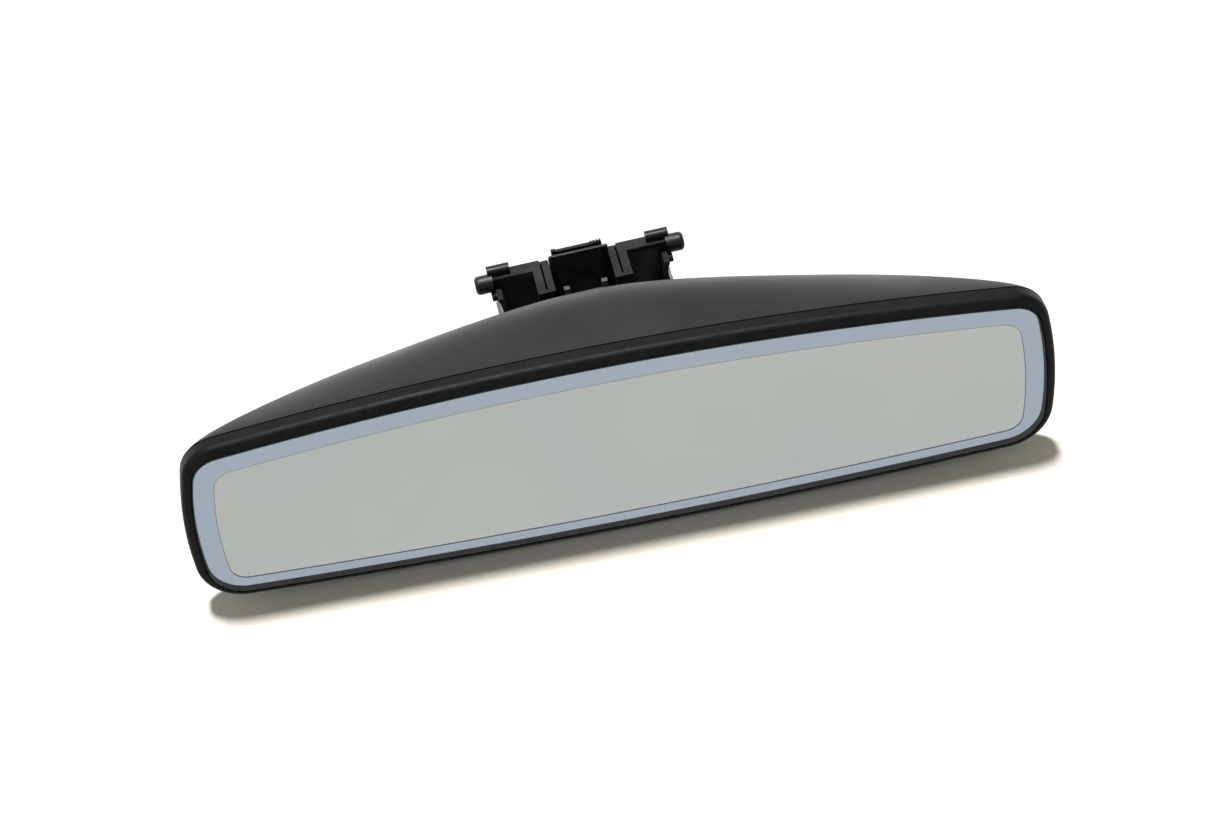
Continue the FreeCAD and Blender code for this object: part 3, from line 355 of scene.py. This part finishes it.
def crown(u, wall):
    """Outline sizes of the crown at the depth shares u, wall mm inside its skin. Its half-width
    falls as (1 - 0.69 u^1.38)^1.345 and its height as (1 - u^4.98)^0.563. An edge bowed by b has
    the radius of half-width squared over 2 b."""
    seam_half, seam_top, seam_low, _, _, seam_side, seam_side_z, seam_c_top, seam_c_low = SEAM
    narrowing, bend, power = WIDTH_LAW
    fall = (1 - u ** HEIGHT_LAW[0]) ** HEIGHT_LAW[1]
    half = seam_half * (1 - narrowing * u ** bend) ** power
    top = RIDGE_Z + (seam_top - RIDGE_Z) * fall
    bottom = seam_low * fall
    share = (top - bottom) / (seam_top - seam_low)
    top_bow = TOP_BOW[0] + TOP_BOW[1] * u
    low_bow = LOW_BOW[0] + LOW_BOW[1] * u
    r_top = half ** 2 / (2 * top_bow)
    r_low = half ** 2 / (2 * low_bow)
    corner = CORNER_SHARE * (top - top_bow - bottom - low_bow)
    slope = np.gradient(half, u * CROWN_DEPTH + 1e-9 * np.arange(len(u)))
    side = wall * np.sqrt(1 + slope ** 2)
    roof = wall * np.sqrt(1 + np.gradient(top, u * CROWN_DEPTH) ** 2)
    return (half - side, top - roof, bottom + roof, r_top - roof, r_low - roof,
            seam_side * share - side, seam_side_z * share,
            np.maximum(np.minimum(seam_c_top, corner) - wall, LEAST_CORNER),
            np.maximum(np.minimum(seam_c_low, corner) - wall, LEAST_CORNER))


def rear_case():
    """Rings run back over the crown, in across its flat end, over the collar, down the neck
    opening and forward again inside the wall. On the flat, a ring is a mix of the end's outline
    and the collar's circle, point by point along the same rays."""
    count, crowding = SKIN_RINGS
    u = CROWN_END * (1 - (1 - np.linspace(0, 1, count)) ** crowding)
    ox, oz = outline(crown(u, 0.0))
    skin = rings_at(ox, CROWN_FRONT + u * CROWN_DEPTH, oz)
    back = CROWN_FRONT + CROWN_END * CROWN_DEPTH
    rim = back + COLLAR_HEIGHT
    ray = np.arctan2(oz[-1], ox[-1])

    def circle(radius, y):
        return np.stack([radius * np.cos(ray), np.full_like(ray, y), radius * np.sin(ray)], -1)

    end = skin[-1]
    foot = circle(COLLAR_R + COLLAR_ROUND, back)
    flat = [end + (foot - end) * t for t in (0.3, 0.65, 1.0)]
    bend = np.radians([0, 30, 60, 90])
    root = [circle(COLLAR_R + COLLAR_ROUND * (1 - math.sin(a)), back + COLLAR_ROUND * (1 - math.cos(a)))
            for a in bend]
    crest = [circle(COLLAR_R - COLLAR_ROUND * (1 - math.cos(a)), rim - COLLAR_ROUND * (1 - math.sin(a)))
             for a in bend]
    bore = [circle(OPENING_R + MOUTH_ROUND, rim), circle(OPENING_R, rim - MOUTH_ROUND),
            circle(OPENING_R, back - CASE_WALL)]
    count, crowding = LINING_RINGS
    v = (CROWN_END - CASE_WALL / CROWN_DEPTH) * (1 - (1 - np.linspace(0, 1, count)) ** crowding)
    ix, iz = outline(crown(v, CASE_WALL))
    lining = rings_at(ix, CROWN_FRONT + v * CROWN_DEPTH, iz)[::-1]
    return np.concatenate([skin, np.array(flat + root[1:] + crest + bore), lining])


# ABS moulded against a spark-eroded tool scatters light: the eye sees a satin black that turns
# soft grey where the crown faces the light, with no sharp highlight.
case_black = moulded("spark-textured ABS, black", "#151414", "#1d1b1b", 0.35, 0.012, (0.42, 0.52),
                     sheen=0.4)
case = surface("rear_case_shell", rear_case(), case_black, "head", "rear_case")


def drill(piece, x, z, radius, y0, y1):
    """Take a round rod along Y out of a piece, and put the piece's mesh back as plain faces."""
    rod = bmesh.new()
    stand = Matrix.Translation((x / 1000, ((y0 + y1) / 2 - SEAT_DEPTH) / 1000, z / 1000))
    bmesh.ops.create_cone(rod, cap_ends=True, segments=HOLE_STEPS, radius1=radius / 1000,
                          radius2=radius / 1000, depth=(y1 - y0) / 1000,
                          matrix=stand @ Matrix.Rotation(math.pi / 2, 4, "X"))
    bit = bpy.data.objects.new("drill bit", bpy.data.meshes.new("drill bit"))
    rod.to_mesh(bit.data)
    rod.free()
    bpy.context.scene.collection.objects.link(bit)
    cut = piece.modifiers.new("hole", "BOOLEAN")
    cut.object = bit
    cut.solver = "EXACT"
    drilled = bpy.data.meshes.new_from_object(piece.evaluated_get(bpy.context.evaluated_depsgraph_get()))
    piece.modifiers.clear()
    piece.data = drilled
    drilled.set_sharp_from_angle(angle=math.radians(SMOOTH_TURN))
    bpy.data.objects.remove(bit)


drill(case, *LENS_HOLE, *LENS_HOLE_REACH)


def tubes(name, places, r_out, r_in, steps, material, body):
    """Short tubes along Y, each from y0 to y1 and a closed loop of four rings: the outside's two
    ends, then the inside's. A ring's points are x + r cos a and z + r sin a."""
    x, z, y0, y1 = np.array(places).T[:, :, None, None]
    radius = np.array([r_out, r_out, r_in, r_in])[:, None]
    angle = np.linspace(0, 2 * math.pi, steps, endpoint=False)
    y = np.concatenate([y0, y1, y1, y0], axis=1)
    rings = np.broadcast_arrays(x + radius * np.cos(angle), y, z + radius * np.sin(angle))
    points = np.stack(rings, -1).reshape(-1, 3)
    tube, ring, step = np.meshgrid(np.arange(len(places)), np.arange(4), np.arange(steps), indexing="ij")
    this, following = (tube * 4 + ring) * steps, (tube * 4 + (ring + 1) % 4) * steps
    after = (step + 1) % steps
    quads = np.stack([this + step, following + step, following + after, this + after], -1)
    mesh = mesh_of(name, points, quads.reshape(-1, 4).tolist())
    return piece_of(mesh, material, body, None)


def crown_depth_at(x):
    """How far back the skin reaches at x, from the half-width law turned round."""
    narrowing, bend, power = WIDTH_LAW
    return CROWN_FRONT + CROWN_DEPTH * ((1 - (abs(x) / SEAM[0]) ** (1 / power)) / narrowing) ** (1 / bend)


bosses = [(x, z, y, min(crown_depth_at(abs(x) + BOSS_R), CASE_BACK_Y) - BOSS_COVERED)
          for x, z, y in BOSSES]
tubes("case_bosses", bosses, BOSS_R, BOSS_BORE_R, BOSS_STEPS, case_black, "head")


# ---- Ambient light pipe ----
# A smoked polycarbonate pipe whose head fills a round hole in the back of the case, and which
# carries daylight to the sensor on the board. It is moulded and snapped in.

def dress(node, material):
    """Give a CAD node its finish."""
    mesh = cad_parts[node].data
    mesh.materials.clear()
    mesh.materials.append(material)


# Polished polycarbonate has a hard gloss, and against the dark inside of the case it gives the
# eye a smoky grey dot with a small highlight.
lens_smoke = moulded("smoked polycarbonate, polished", "#3c3a3a", "#464444", 2.0, 0.001, (0.08, 0.14),
                     1.585)
dress("ambient_lens", lens_smoke)


# ---- Bezel ----
# The narrow frame round the glass: black ABS with a coarser leather-like grain, moulded with a
# rounded outer edge and snapped into the front of the case, with a thin dark gap between them.

BEZEL_FRONT = 0.15
BEZEL_BACK = 5.6
BEZEL_ROUND = 2.6
WALL_RING = 1.6  # from the back to an extra ring, which keeps the straight wall's shading flat
BACK_CHAMFER = 0.15
GLASS_GAP = 0.25
LIP_ROUND = 0.35
SHELF_Y = 4.4  # the front of the shelf behind the glass
SHELF_WIDTH = 1.7
BEAD_STEPS = 13
LIP_STEPS = 5
LEAST_FLAT = 0.05


def bezel():
    """A closed section carried round the frame. A point is d millimetres in from the outer
    outline towards the glass, on the straight line between matching points of both outlines."""
    ox, oz = outline(SEAM)
    ix, iz = outline(grown(GLASS, GLASS_GAP))
    outer = np.stack([ox[0], oz[0]], -1)
    inner = np.stack([ix[0], iz[0]], -1)
    width = np.linalg.norm(inner - outer, axis=1, keepdims=True)
    inward = (inner - outer) / width
    rows = []

    def ring(d, y):
        p = outer + inward * d
        rows.append(np.stack([p[:, 0], np.broadcast_to(y, len(p)), p[:, 1]], -1))

    ring(BACK_CHAMFER, BEZEL_BACK)
    ring(0.0, BEZEL_BACK - BACK_CHAMFER)
    ring(0.0, BEZEL_BACK - WALL_RING)
    bead = np.minimum(BEZEL_ROUND, width - LIP_ROUND - LEAST_FLAT)
    for a in np.radians(np.linspace(0, 90, BEAD_STEPS)):
        ring(bead * (1 - math.cos(a)), BEZEL_FRONT + bead[:, 0] * (1 - math.sin(a)))
    for a in np.radians(np.linspace(90, 0, LIP_STEPS)):
        ring(width - LIP_ROUND * (1 - math.cos(a)), BEZEL_FRONT + LIP_ROUND * (1 - math.sin(a)))
    ring(width, SHELF_Y)
    ring(width + SHELF_WIDTH, SHELF_Y)
    ring(width + SHELF_WIDTH, BEZEL_BACK)
    return np.array(rows)


# The coarser grain breaks up the light into small uneven glints, so the frame gives the eye a
# deeper, drier black than the case.
bezel_black = moulded("leather-grained ABS, black", "#08090a", "#121417", 0.55, 0.05, (0.46, 0.6),
                      patch=9.0, sheen=0.15)
surface("bezel_frame", bezel(), bezel_black, "head", "bezel")


# ---- Front glass ----
# A 2 mm plate of clear float glass with a polished face and a ground, chamfered edge, which
# shows as a dull olive line where it catches the light from inside.

FRONT_GLASS_T = 2.0
FACE_CHAMFER = 0.25
BACK_ARRIS = 0.12
CHAMFER_TURN = 20.0  # degrees, so that the small chamfers keep their edges
SMEAR_SPAN = 18.2  # mm across a smear

# Polished float glass is clear and sharp, and faint smears from handling soften its reflection a
# little in places.
float_glass, tree = blank("float glass, polished")
where = add(tree, "ShaderNodeTexCoord").outputs["Object"]
smear = add(tree, "ShaderNodeTexNoise", Vector=where, Scale=1000 / SMEAR_SPAN, Detail=4.0, Roughness=0.6)
haze = add(tree, "ShaderNodeMapRange", Value=smear.outputs["Fac"], From_Min=0.45, From_Max=0.8, To_Min=0.0,
           To_Max=0.035)
shade = add(tree, "ShaderNodeBsdfPrincipled", Base_Color=linear("#fafcfb"), Roughness=haze.outputs[0],
            IOR=1.52, Transmission_Weight=1.0)
add(tree, "ShaderNodeOutputMaterial", Surface=shade.outputs[0])

# A ground edge is matt and lets the iron's green through, so it reads as a dark olive line.
ground_edge = moulded("ground glass edge, olive", "#2f3a34", "#4c5850", 0.3, 0.01, (0.5, 0.65), 1.52,
                      patch=12.0)

gx, gz = outline(grown(GLASS, 0.0))
sx, sz = outline(grown(GLASS, -BACK_ARRIS))
cx, cz = outline(grown(GLASS, -FACE_CHAMFER))
plate = np.concatenate([rings_at(sx, FRONT_GLASS_T, sz), rings_at(gx, FRONT_GLASS_T - BACK_ARRIS, gz),
                        rings_at(gx, FACE_CHAMFER, gz), rings_at(cx, 0.0, cz)])
glass = surface("front_glass_plate", plate, float_glass, "head", "front_glass",
                looped=False, smooth=CHAMFER_TURN)
glass.data.materials.append(ground_edge)
edge_faces = np.zeros(len(glass.data.polygons), np.int32)
edge_faces[:-2] = 1  # all but the two flat faces
glass.data.polygons.foreach_set("material_index", edge_faces)


# ---- Chrome ring ----
# A bluish chromium band sputtered on the back of the front glass. It hides the seal, and the
# thinner edge of its coating shows as a fine grey hairline round the inside.

RING_INNER = (116.3, 23.4, -26.9, 930.0, 2184.0, 121.0, -9.2, 6.2, 5.2)
RING_INSET = 0.15
RING_FRONT = 2.03
RING_BACK = 2.1
HAIRLINE_FRONT = 2.04
HAIRLINE_WIDTH = 0.14
CLOUD_SPAN = 25.0  # mm

# Sputtered chromium is a smooth, slightly cool metal film: an even pale blue with soft
# reflections, which drifts a shade from place to place.
ring_chrome, tree = blank("sputtered chromium, bluish")
where = add(tree, "ShaderNodeTexCoord").outputs["Object"]
cloud = add(tree, "ShaderNodeTexNoise", Vector=where, Scale=1000 / CLOUD_SPAN, Detail=2.0)
tint = add(tree, "ShaderNodeMix", {"data_type": "RGBA"}, _0=cloud.outputs["Fac"], _6=linear("#cdd5ea"),
           _7=linear("#d4dbed"))
shade = add(tree, "ShaderNodeBsdfPrincipled", Base_Color=tint.outputs[2], Metallic=1.0, Roughness=0.12)
add(tree, "ShaderNodeOutputMaterial", Surface=shade.outputs[0])


def band(outer, inner, y0, y1):
    """A flat frame between two outlines: four rings round its section."""
    ax, az = outline(outer)
    bx, bz = outline(inner)
    return np.concatenate([rings_at(ax, y0, az), rings_at(bx, y0, bz), rings_at(bx, y1, bz),
                           rings_at(ax, y1, az)])


surface("chrome_ring_band", band(grown(GLASS, -RING_INSET), RING_INNER, RING_FRONT, RING_BACK),
        ring_chrome, "head", "chrome_ring")

# The thin edge of the film is dull, and gives the eye a fine grey line between ring and mirror.
hairline = moulded("thin chromium edge, dull", "#8f959b", "#969ca2", 1.0, 0.001, (0.4, 0.5))
hairline_band = band(RING_INNER, grown(RING_INNER, -HAIRLINE_WIDTH), HAIRLINE_FRONT, RING_BACK)
surface("chrome_ring_hairline", hairline_band, hairline, "head", None)


# ---- Gel and mirror coating ----
# A thin clear gel that darkens on a current, sealed between the plates, and the silver coating
# of the rear plate behind it. The gel matches the glass, so its faces give no reflection.

REAR_PLATE = (122.0, 28.4, -29.6, 930.0, 2184.0, 121.0, -9.2, 8.7, 11.1)
SEAL_WIDTH = 2.4
GEL_FRONT = 2.12
GEL_BACK = 2.18
GEL_DRIFT = 71.4  # mm across a slow change of tint
SILVER_DRIFT = 62.5
SPECK_SPACING = 19.2
SPECK_TURN = (0.0, 0.5, 0.0)  # radians
SPECK_STRETCH = (1.0, 1.0, 0.45)

# With the current off, the gel is as clear as the glass, and warms the reflection a trace.
gel_clear, tree = blank("electrochromic gel, clear")
where = add(tree, "ShaderNodeTexCoord").outputs["Object"]
drift = add(tree, "ShaderNodeTexNoise", Vector=where, Scale=1000 / GEL_DRIFT, Detail=1.0)
tint = add(tree, "ShaderNodeMix", {"data_type": "RGBA"}, _0=drift.outputs["Fac"], _6=linear("#fbfbfa"),
           _7=linear("#fefefc"))
shade = add(tree, "ShaderNodeBsdfPrincipled", Base_Color=tint.outputs[2], Roughness=0.0, IOR=1.001,
            Transmission_Weight=1.0)
add(tree, "ShaderNodeOutputMaterial", Surface=shade.outputs[0])
hx, hz = outline(grown(REAR_PLATE, -SEAL_WIDTH))
gel = np.concatenate([rings_at(hx, GEL_FRONT, hz), rings_at(hx, GEL_BACK, hz)])
surface("gel_layer", gel, gel_clear, "head", "ec_gel", looped=False)

# Silver reflects nearly all of the light with a neutral tone. Slow changes of tint and haze and a
# few dull specks give the eye a mirror that has been handled and used.
silver, tree = blank("silver mirror coating, light wear")
where = add(tree, "ShaderNodeTexCoord").outputs["Object"]
wide = add(tree, "ShaderNodeTexNoise", Vector=where, Scale=1000 / SILVER_DRIFT, Detail=4.0, Roughness=0.55)
tint = add(tree, "ShaderNodeMix", {"data_type": "RGBA"}, _0=wide.outputs["Fac"], _6=linear("#edeff1"),
           _7=linear("#faf8f5"))
mark = add(tree, "ShaderNodeMapping", Vector=where, Rotation=SPECK_TURN, Scale=SPECK_STRETCH)
spots = add(tree, "ShaderNodeTexVoronoi", Vector=mark.outputs[0], Scale=1000 / SPECK_SPACING)
speck = add(tree, "ShaderNodeMapRange", Value=spots.outputs["Distance"], From_Min=0.02, From_Max=0.05,
            To_Min=1.0, To_Max=0.0)
worn = add(tree, "ShaderNodeMix", {"data_type": "RGBA"}, _0=speck.outputs[0], _6=tint.outputs[2],
           _7=linear("#c9cec9"))
dull = add(tree, "ShaderNodeMapRange", Value=wide.outputs["Fac"], From_Min=0.35, From_Max=0.7, To_Min=0.02,
           To_Max=0.07)
shade = add(tree, "ShaderNodeBsdfPrincipled", Base_Color=worn.outputs[2], Metallic=1.0,
            Roughness=dull.outputs[0])
add(tree, "ShaderNodeOutputMaterial", Surface=shade.outputs[0])
dress("mirror_coating", silver)


# ---- Rear plate, seal, clips and foam ----
# The rear plate of float glass, the epoxy bead round the gel, the tinned bronze clips that feed
# the coating, and the black foam that holds the stack to the carrier.

# Seen on edge, float glass gives the eye a pale green with a hard gloss.
rear_float = moulded("float glass, rear plate", "#bfcfc6", "#cfdcd4", 3.0, 0.0005, (0.02, 0.05), 1.52)
dress("rear_glass", rear_float)

# Cured epoxy is a smooth, half-matt grey bead.
dress("edge_seal", moulded("epoxy bead, grey", "#6b6a64", "#7a7972", 0.4, 0.01, (0.4, 0.5), 1.55))

# Tin over rolled bronze keeps a warm, slightly clouded shine.
clip_metal = moulded("tinned spring bronze", "#b3b0a6", "#c8c5bb", 0.3, 0.002, (0.25, 0.4), 1.5, 6.0, 1.0)
dress("bus_clip_top", clip_metal)
dress("bus_clip_bottom", clip_metal)

# Cut foam is all open pits at its edge, so it gives the eye a dead matt black.
foam_black = moulded("closed-cell foam, black", "#17181a", "#26272a", 0.6, 0.12, (0.9, 0.98), 1.45, 8.0)
dress("foam_tape", foam_black)


# ---- Carrier plate and screws ----
# The plate that the glass is bonded to, moulded from glass-filled ABS, and the zinc-plated
# steel screws that hold it to the bosses of the case.

# The glass fibres near the skin turn the black to a dry dark grey.
carrier_grey = moulded("glass-filled ABS, dark grey", "#2c2e30", "#3a3c3e", 0.5, 0.02, (0.5, 0.65))
dress("carrier_plate", carrier_grey)

# Bright zinc plating shows a cool silver shine with slight cloudy patches.
zinc_steel = moulded("zinc-plated steel", "#a9adb0", "#c2c6c8", 0.2, 0.003, (0.28, 0.42), 1.5, 3.0, 1.0)
for node in ("carrier_screws", "board_screws", "socket_screws", "cover_screws", "stud_nut"):
    dress(node, zinc_steel)


# ---- Circuit board ----
# A green glass-epoxy board with copper tracks under solder resist. Its tracks run square to
# each other about every 2.5 mm, and it carries the sensors, the driver and the plug.

TRACK_SPACING = 2.5
TRACK_HEIGHT = 0.03

# Solder resist is a glossy green skin, lighter over the raised copper than over the bare board.
resist, tree = blank("solder resist, green")
where = add(tree, "ShaderNodeTexCoord").outputs["Object"]
upright = add(tree, "ShaderNodeMapping", Vector=where, Rotation=(math.pi / 2, 0.0, 0.0))
tracks = add(tree, "ShaderNodeTexBrick", {"offset": 0.5}, Vector=upright.outputs[0],
             Scale=1000 / TRACK_SPACING, Mortar_Size=0.04, Color1=linear("#12402a"),
             Color2=linear("#16482f"), Mortar=linear("#2f6f48"))
lift = add(tree, "ShaderNodeBump", Height=tracks.outputs["Fac"], Distance=TRACK_HEIGHT / 1000)
shade = add(tree, "ShaderNodeBsdfPrincipled", Base_Color=tracks.outputs["Color"], Roughness=0.35, IOR=1.55,
            Normal=lift.outputs[0], Coat_Weight=0.4)
add(tree, "ShaderNodeOutputMaterial", Surface=shade.outputs[0])
dress("circuit_board", resist)

# Chip epoxy is filled with silica, which leaves a fine matt charcoal.
dress("board_chips", moulded("moulded chip epoxy", "#1c1d1f", "#292a2c", 0.15, 0.004, (0.5, 0.6), 1.55, 3.0))

# A drawn aluminium can has a soft, bright grey shine.
can_metal = moulded("aluminium can", "#b9bcc0", "#cdd0d3", 0.4, 0.002, (0.25, 0.35), 1.5, 3.0, 1.0)
dress("board_capacitors", can_metal)

# Unfilled nylon keeps its own creamy colour, with a half-matt skin.
dress("board_header", moulded("nylon header, cream", "#d8cfb4", "#e4dcc4", 0.5, 0.01, (0.45, 0.55)))

# Epoxy that passes infrared is nearly black to the eye, with a wet gloss.
sensor_black = moulded("infrared-clear epoxy", "#17130f", "#241c16", 1.0, 0.001, (0.12, 0.2), 1.55, 2.0)
dress("glare_sensor", sensor_black)
dress("ambient_sensor", sensor_black)


# ---- Leads ----
# The leads in the head and in the mount, each bundle drawn through a black braided polyester
# sleeve, with the short flexing length between them left out.

# Braid scatters light off its crossing threads, here drawn as coarse as 0.5 mm, so the sleeve is
# matt black with a dusty grey bloom.
sleeve = moulded("braided polyester sleeve, black", "#141414", "#2a2a2a", 0.5, 0.15, (0.7, 0.85), 1.5, 2.0)
dress("head_harness", sleeve)
dress("mount_harness", sleeve)


# ---- Ball socket ----
# An acetal cup screwed to the case, with a spring steel retaining plate behind it. A nylon
# liner and a retainer ring round the ball give the joint its steady drag.

# Acetal is dense and slippery, with a smooth waxy black sheen.
dress("socket_cup", moulded("acetal, natural black", "#1d1e20", "#292a2c", 0.6, 0.008, (0.35, 0.45), 1.48))

# Blued steel shows a dark slate tone with a clear metal shine.
blued = moulded("blued spring steel", "#454b55", "#596069", 0.3, 0.003, (0.3, 0.4), 1.5, 4.0, 1.0)
dress("retaining_plate", blued)

# Natural nylon is an off-white with a soft skin, and the black ring is the same with carbon in it.
dress("friction_liner", moulded("nylon liner, natural", "#cfc8b6", "#dcd6c6", 0.5, 0.008, (0.45, 0.55)))
dress("retainer_ring", moulded("nylon ring, black", "#1b1c1e", "#27282a", 0.5, 0.008, (0.4, 0.5)))


# ---- Ball stud ----
# A hollow ball and neck cast in zinc alloy in one piece and passivated, with a flange that
# clamps to the bracket and a bore for the leads.

BALL_Y = 31.5
BALL_R = 8.5
MOUTH_R = 4.8
BORE_R = 2.6
BORE_FRONT = 5.0  # from the front of the ball to where the mouth narrows to the bore
NECK_R = 4.2
NECK_MID_Y = 46.0
FLARE_Y = 47.6
FLARE = (2.9, 3.0)  # half-axes of the ellipse that the neck flares along, out and back
FLARE_TURN = 80  # degrees
FLANGE_R = 9.0
FLANGE_FRONT = 50.6
FLANGE_BACK = 53.0
FLANGE_ROUND = 0.3
SPIGOT_R = 5.0
SPIGOT_END = 59.4
SPIGOT_CHAMFER = (0.3, 0.4)
BALL_STEPS = 40
FLARE_STEPS = 8
STUD_STEPS = 72


def ball_stud():
    """A profile of radius and depth turned about the Y axis: up the ball from its mouth, along
    the neck and its flare, over the flange and spigot, and back through the bore."""
    mouth = math.asin(MOUTH_R / BALL_R)
    root = math.pi - math.asin(NECK_R / BALL_R)
    swing = np.linspace(mouth, root, BALL_STEPS)
    flare = np.radians(np.linspace(0, FLARE_TURN, FLARE_STEPS))
    profile = list(zip(BALL_R * np.sin(swing), BALL_Y - BALL_R * np.cos(swing)))
    profile += [(NECK_R, NECK_MID_Y)]
    profile += list(zip(NECK_R + FLARE[0] * (1 - np.cos(flare)), FLARE_Y + FLARE[1] * np.sin(flare)))
    profile += [(FLANGE_R - FLANGE_ROUND, FLANGE_FRONT), (FLANGE_R, FLANGE_FRONT + FLANGE_ROUND),
                (FLANGE_R, FLANGE_BACK - FLANGE_ROUND), (FLANGE_R - FLANGE_ROUND, FLANGE_BACK),
                (SPIGOT_R, FLANGE_BACK), (SPIGOT_R, SPIGOT_END - SPIGOT_CHAMFER[1]),
                (SPIGOT_R - SPIGOT_CHAMFER[0], SPIGOT_END), (BORE_R, SPIGOT_END),
                (BORE_R, BALL_Y - BALL_R + BORE_FRONT)]
    radius, depth = np.array(profile).T
    angle = np.linspace(0, 2 * math.pi, STUD_STEPS, endpoint=False)
    return rings_at(radius[:, None] * np.cos(angle), depth, radius[:, None] * np.sin(angle))


# Passivated zinc casting is a flat mid grey metal, with a dull sheen in place of a shine.
cast_zinc = moulded("die-cast zinc, passivated", "#7d8083", "#93969a", 0.25, 0.008, (0.35, 0.5), 1.5,
                    5.0, 1.0)
surface("ball_stud_casting", ball_stud(), cast_zinc, "mount", "ball_stud")


# ---- Windscreen bracket ----
# The bracket that clips to the windscreen: black glass-filled nylon, moulded with two long
# ribs, a stud wall, spring latch tabs, hooks and pivot pegs. Its edges have a small radius.

BRACKET_EDGE = 0.22
SHARP = 30  # degrees


def softened(name, node, material, body, radius):
    """A copy of a CAD node's faces, joined at their corners, with every edge sharper than 30
    degrees rounded to the radius, in millimetres, as a mould leaves it."""
    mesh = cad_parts[node].data.copy()
    mesh.name = name
    work = bmesh.new()
    work.from_mesh(mesh)
    bmesh.ops.remove_doubles(work, verts=work.verts, dist=1e-6)
    bmesh.ops.dissolve_limit(work, angle_limit=math.radians(1.0), verts=work.verts, edges=work.edges)
    work.to_mesh(mesh)
    work.free()
    mesh.polygons.foreach_set("use_smooth", [True] * len(mesh.polygons))
    mesh.set_sharp_from_angle(angle=math.radians(SHARP))
    piece = piece_of(mesh, material, body, node)
    edge = piece.modifiers.new("edge radius", "BEVEL")
    edge.width = radius / 1000
    edge.segments = 2
    edge.limit_method = "ANGLE"
    edge.angle_limit = math.radians(SHARP)
    edge.harden_normals = True
    return piece


# Glass fibres lie just under the skin of filled nylon, so its black has a greyish, slightly
# uneven satin sheen, and its rounded edges catch thin lines of light.
bracket_black = moulded("glass-filled nylon, black", "#0f1010", "#181919", 0.4, 0.012, (0.38, 0.52),
                        patch=7.0, sheen=0.42)
softened("bracket_moulding", "mount_bracket", bracket_black, "mount", BRACKET_EDGE)


# ---- Connector ----
# The plug socket between the ribs: a black PBT block with a tall front wall, a lock bar on its
# back wall, tinned pins in its well, and two guide posts on a ledge in front, whose lighter grey is
# painted highlight.

BLOCK_EDGE = 0.2
SMALL_EDGE = 0.15

# PBT takes a smoother polish than the nylon round it, so its black is deeper and glossier.
block_black = moulded("PBT, black", "#0f0f10", "#1b1b1c", 0.5, 0.006, (0.3, 0.42), 1.55, 6.0)
softened("connector_shroud", "connector_block", block_black, "mount", BLOCK_EDGE)
softened("connector_lock_bar", "connector_cap", block_black, "mount", SMALL_EDGE)

# The posts are the same plastic. Their mid grey, which sets them off from the black walls, is
# a painted highlight for the light that their bevelled tops catch.
posts_grey_painted_highlight = moulded("PBT, grey as painted highlight", "#4d4f50", "#606263", 0.5, 0.006, (0.4, 0.5), 1.55, 6.0)
softened("connector_guides", "guide_posts", posts_grey_painted_highlight, "mount", SMALL_EDGE)

# Bright tin over drawn brass is a silvery metal with a soft shine.
pin_tin = moulded("tinned brass", "#b5b7b3", "#cacbc8", 0.2, 0.002, (0.25, 0.35), 1.5, 2.0, 1.0)
dress("connector_pins", pin_tin)


# ---- Lower cover ----
# The flat cover that closes the bracket's foot over the stud nut: the same black nylon, with
# rounded edges, held by two screws.

COVER_EDGE = 0.25

softened("lower_cover", "mount_cover", bracket_black, "mount", COVER_EDGE)
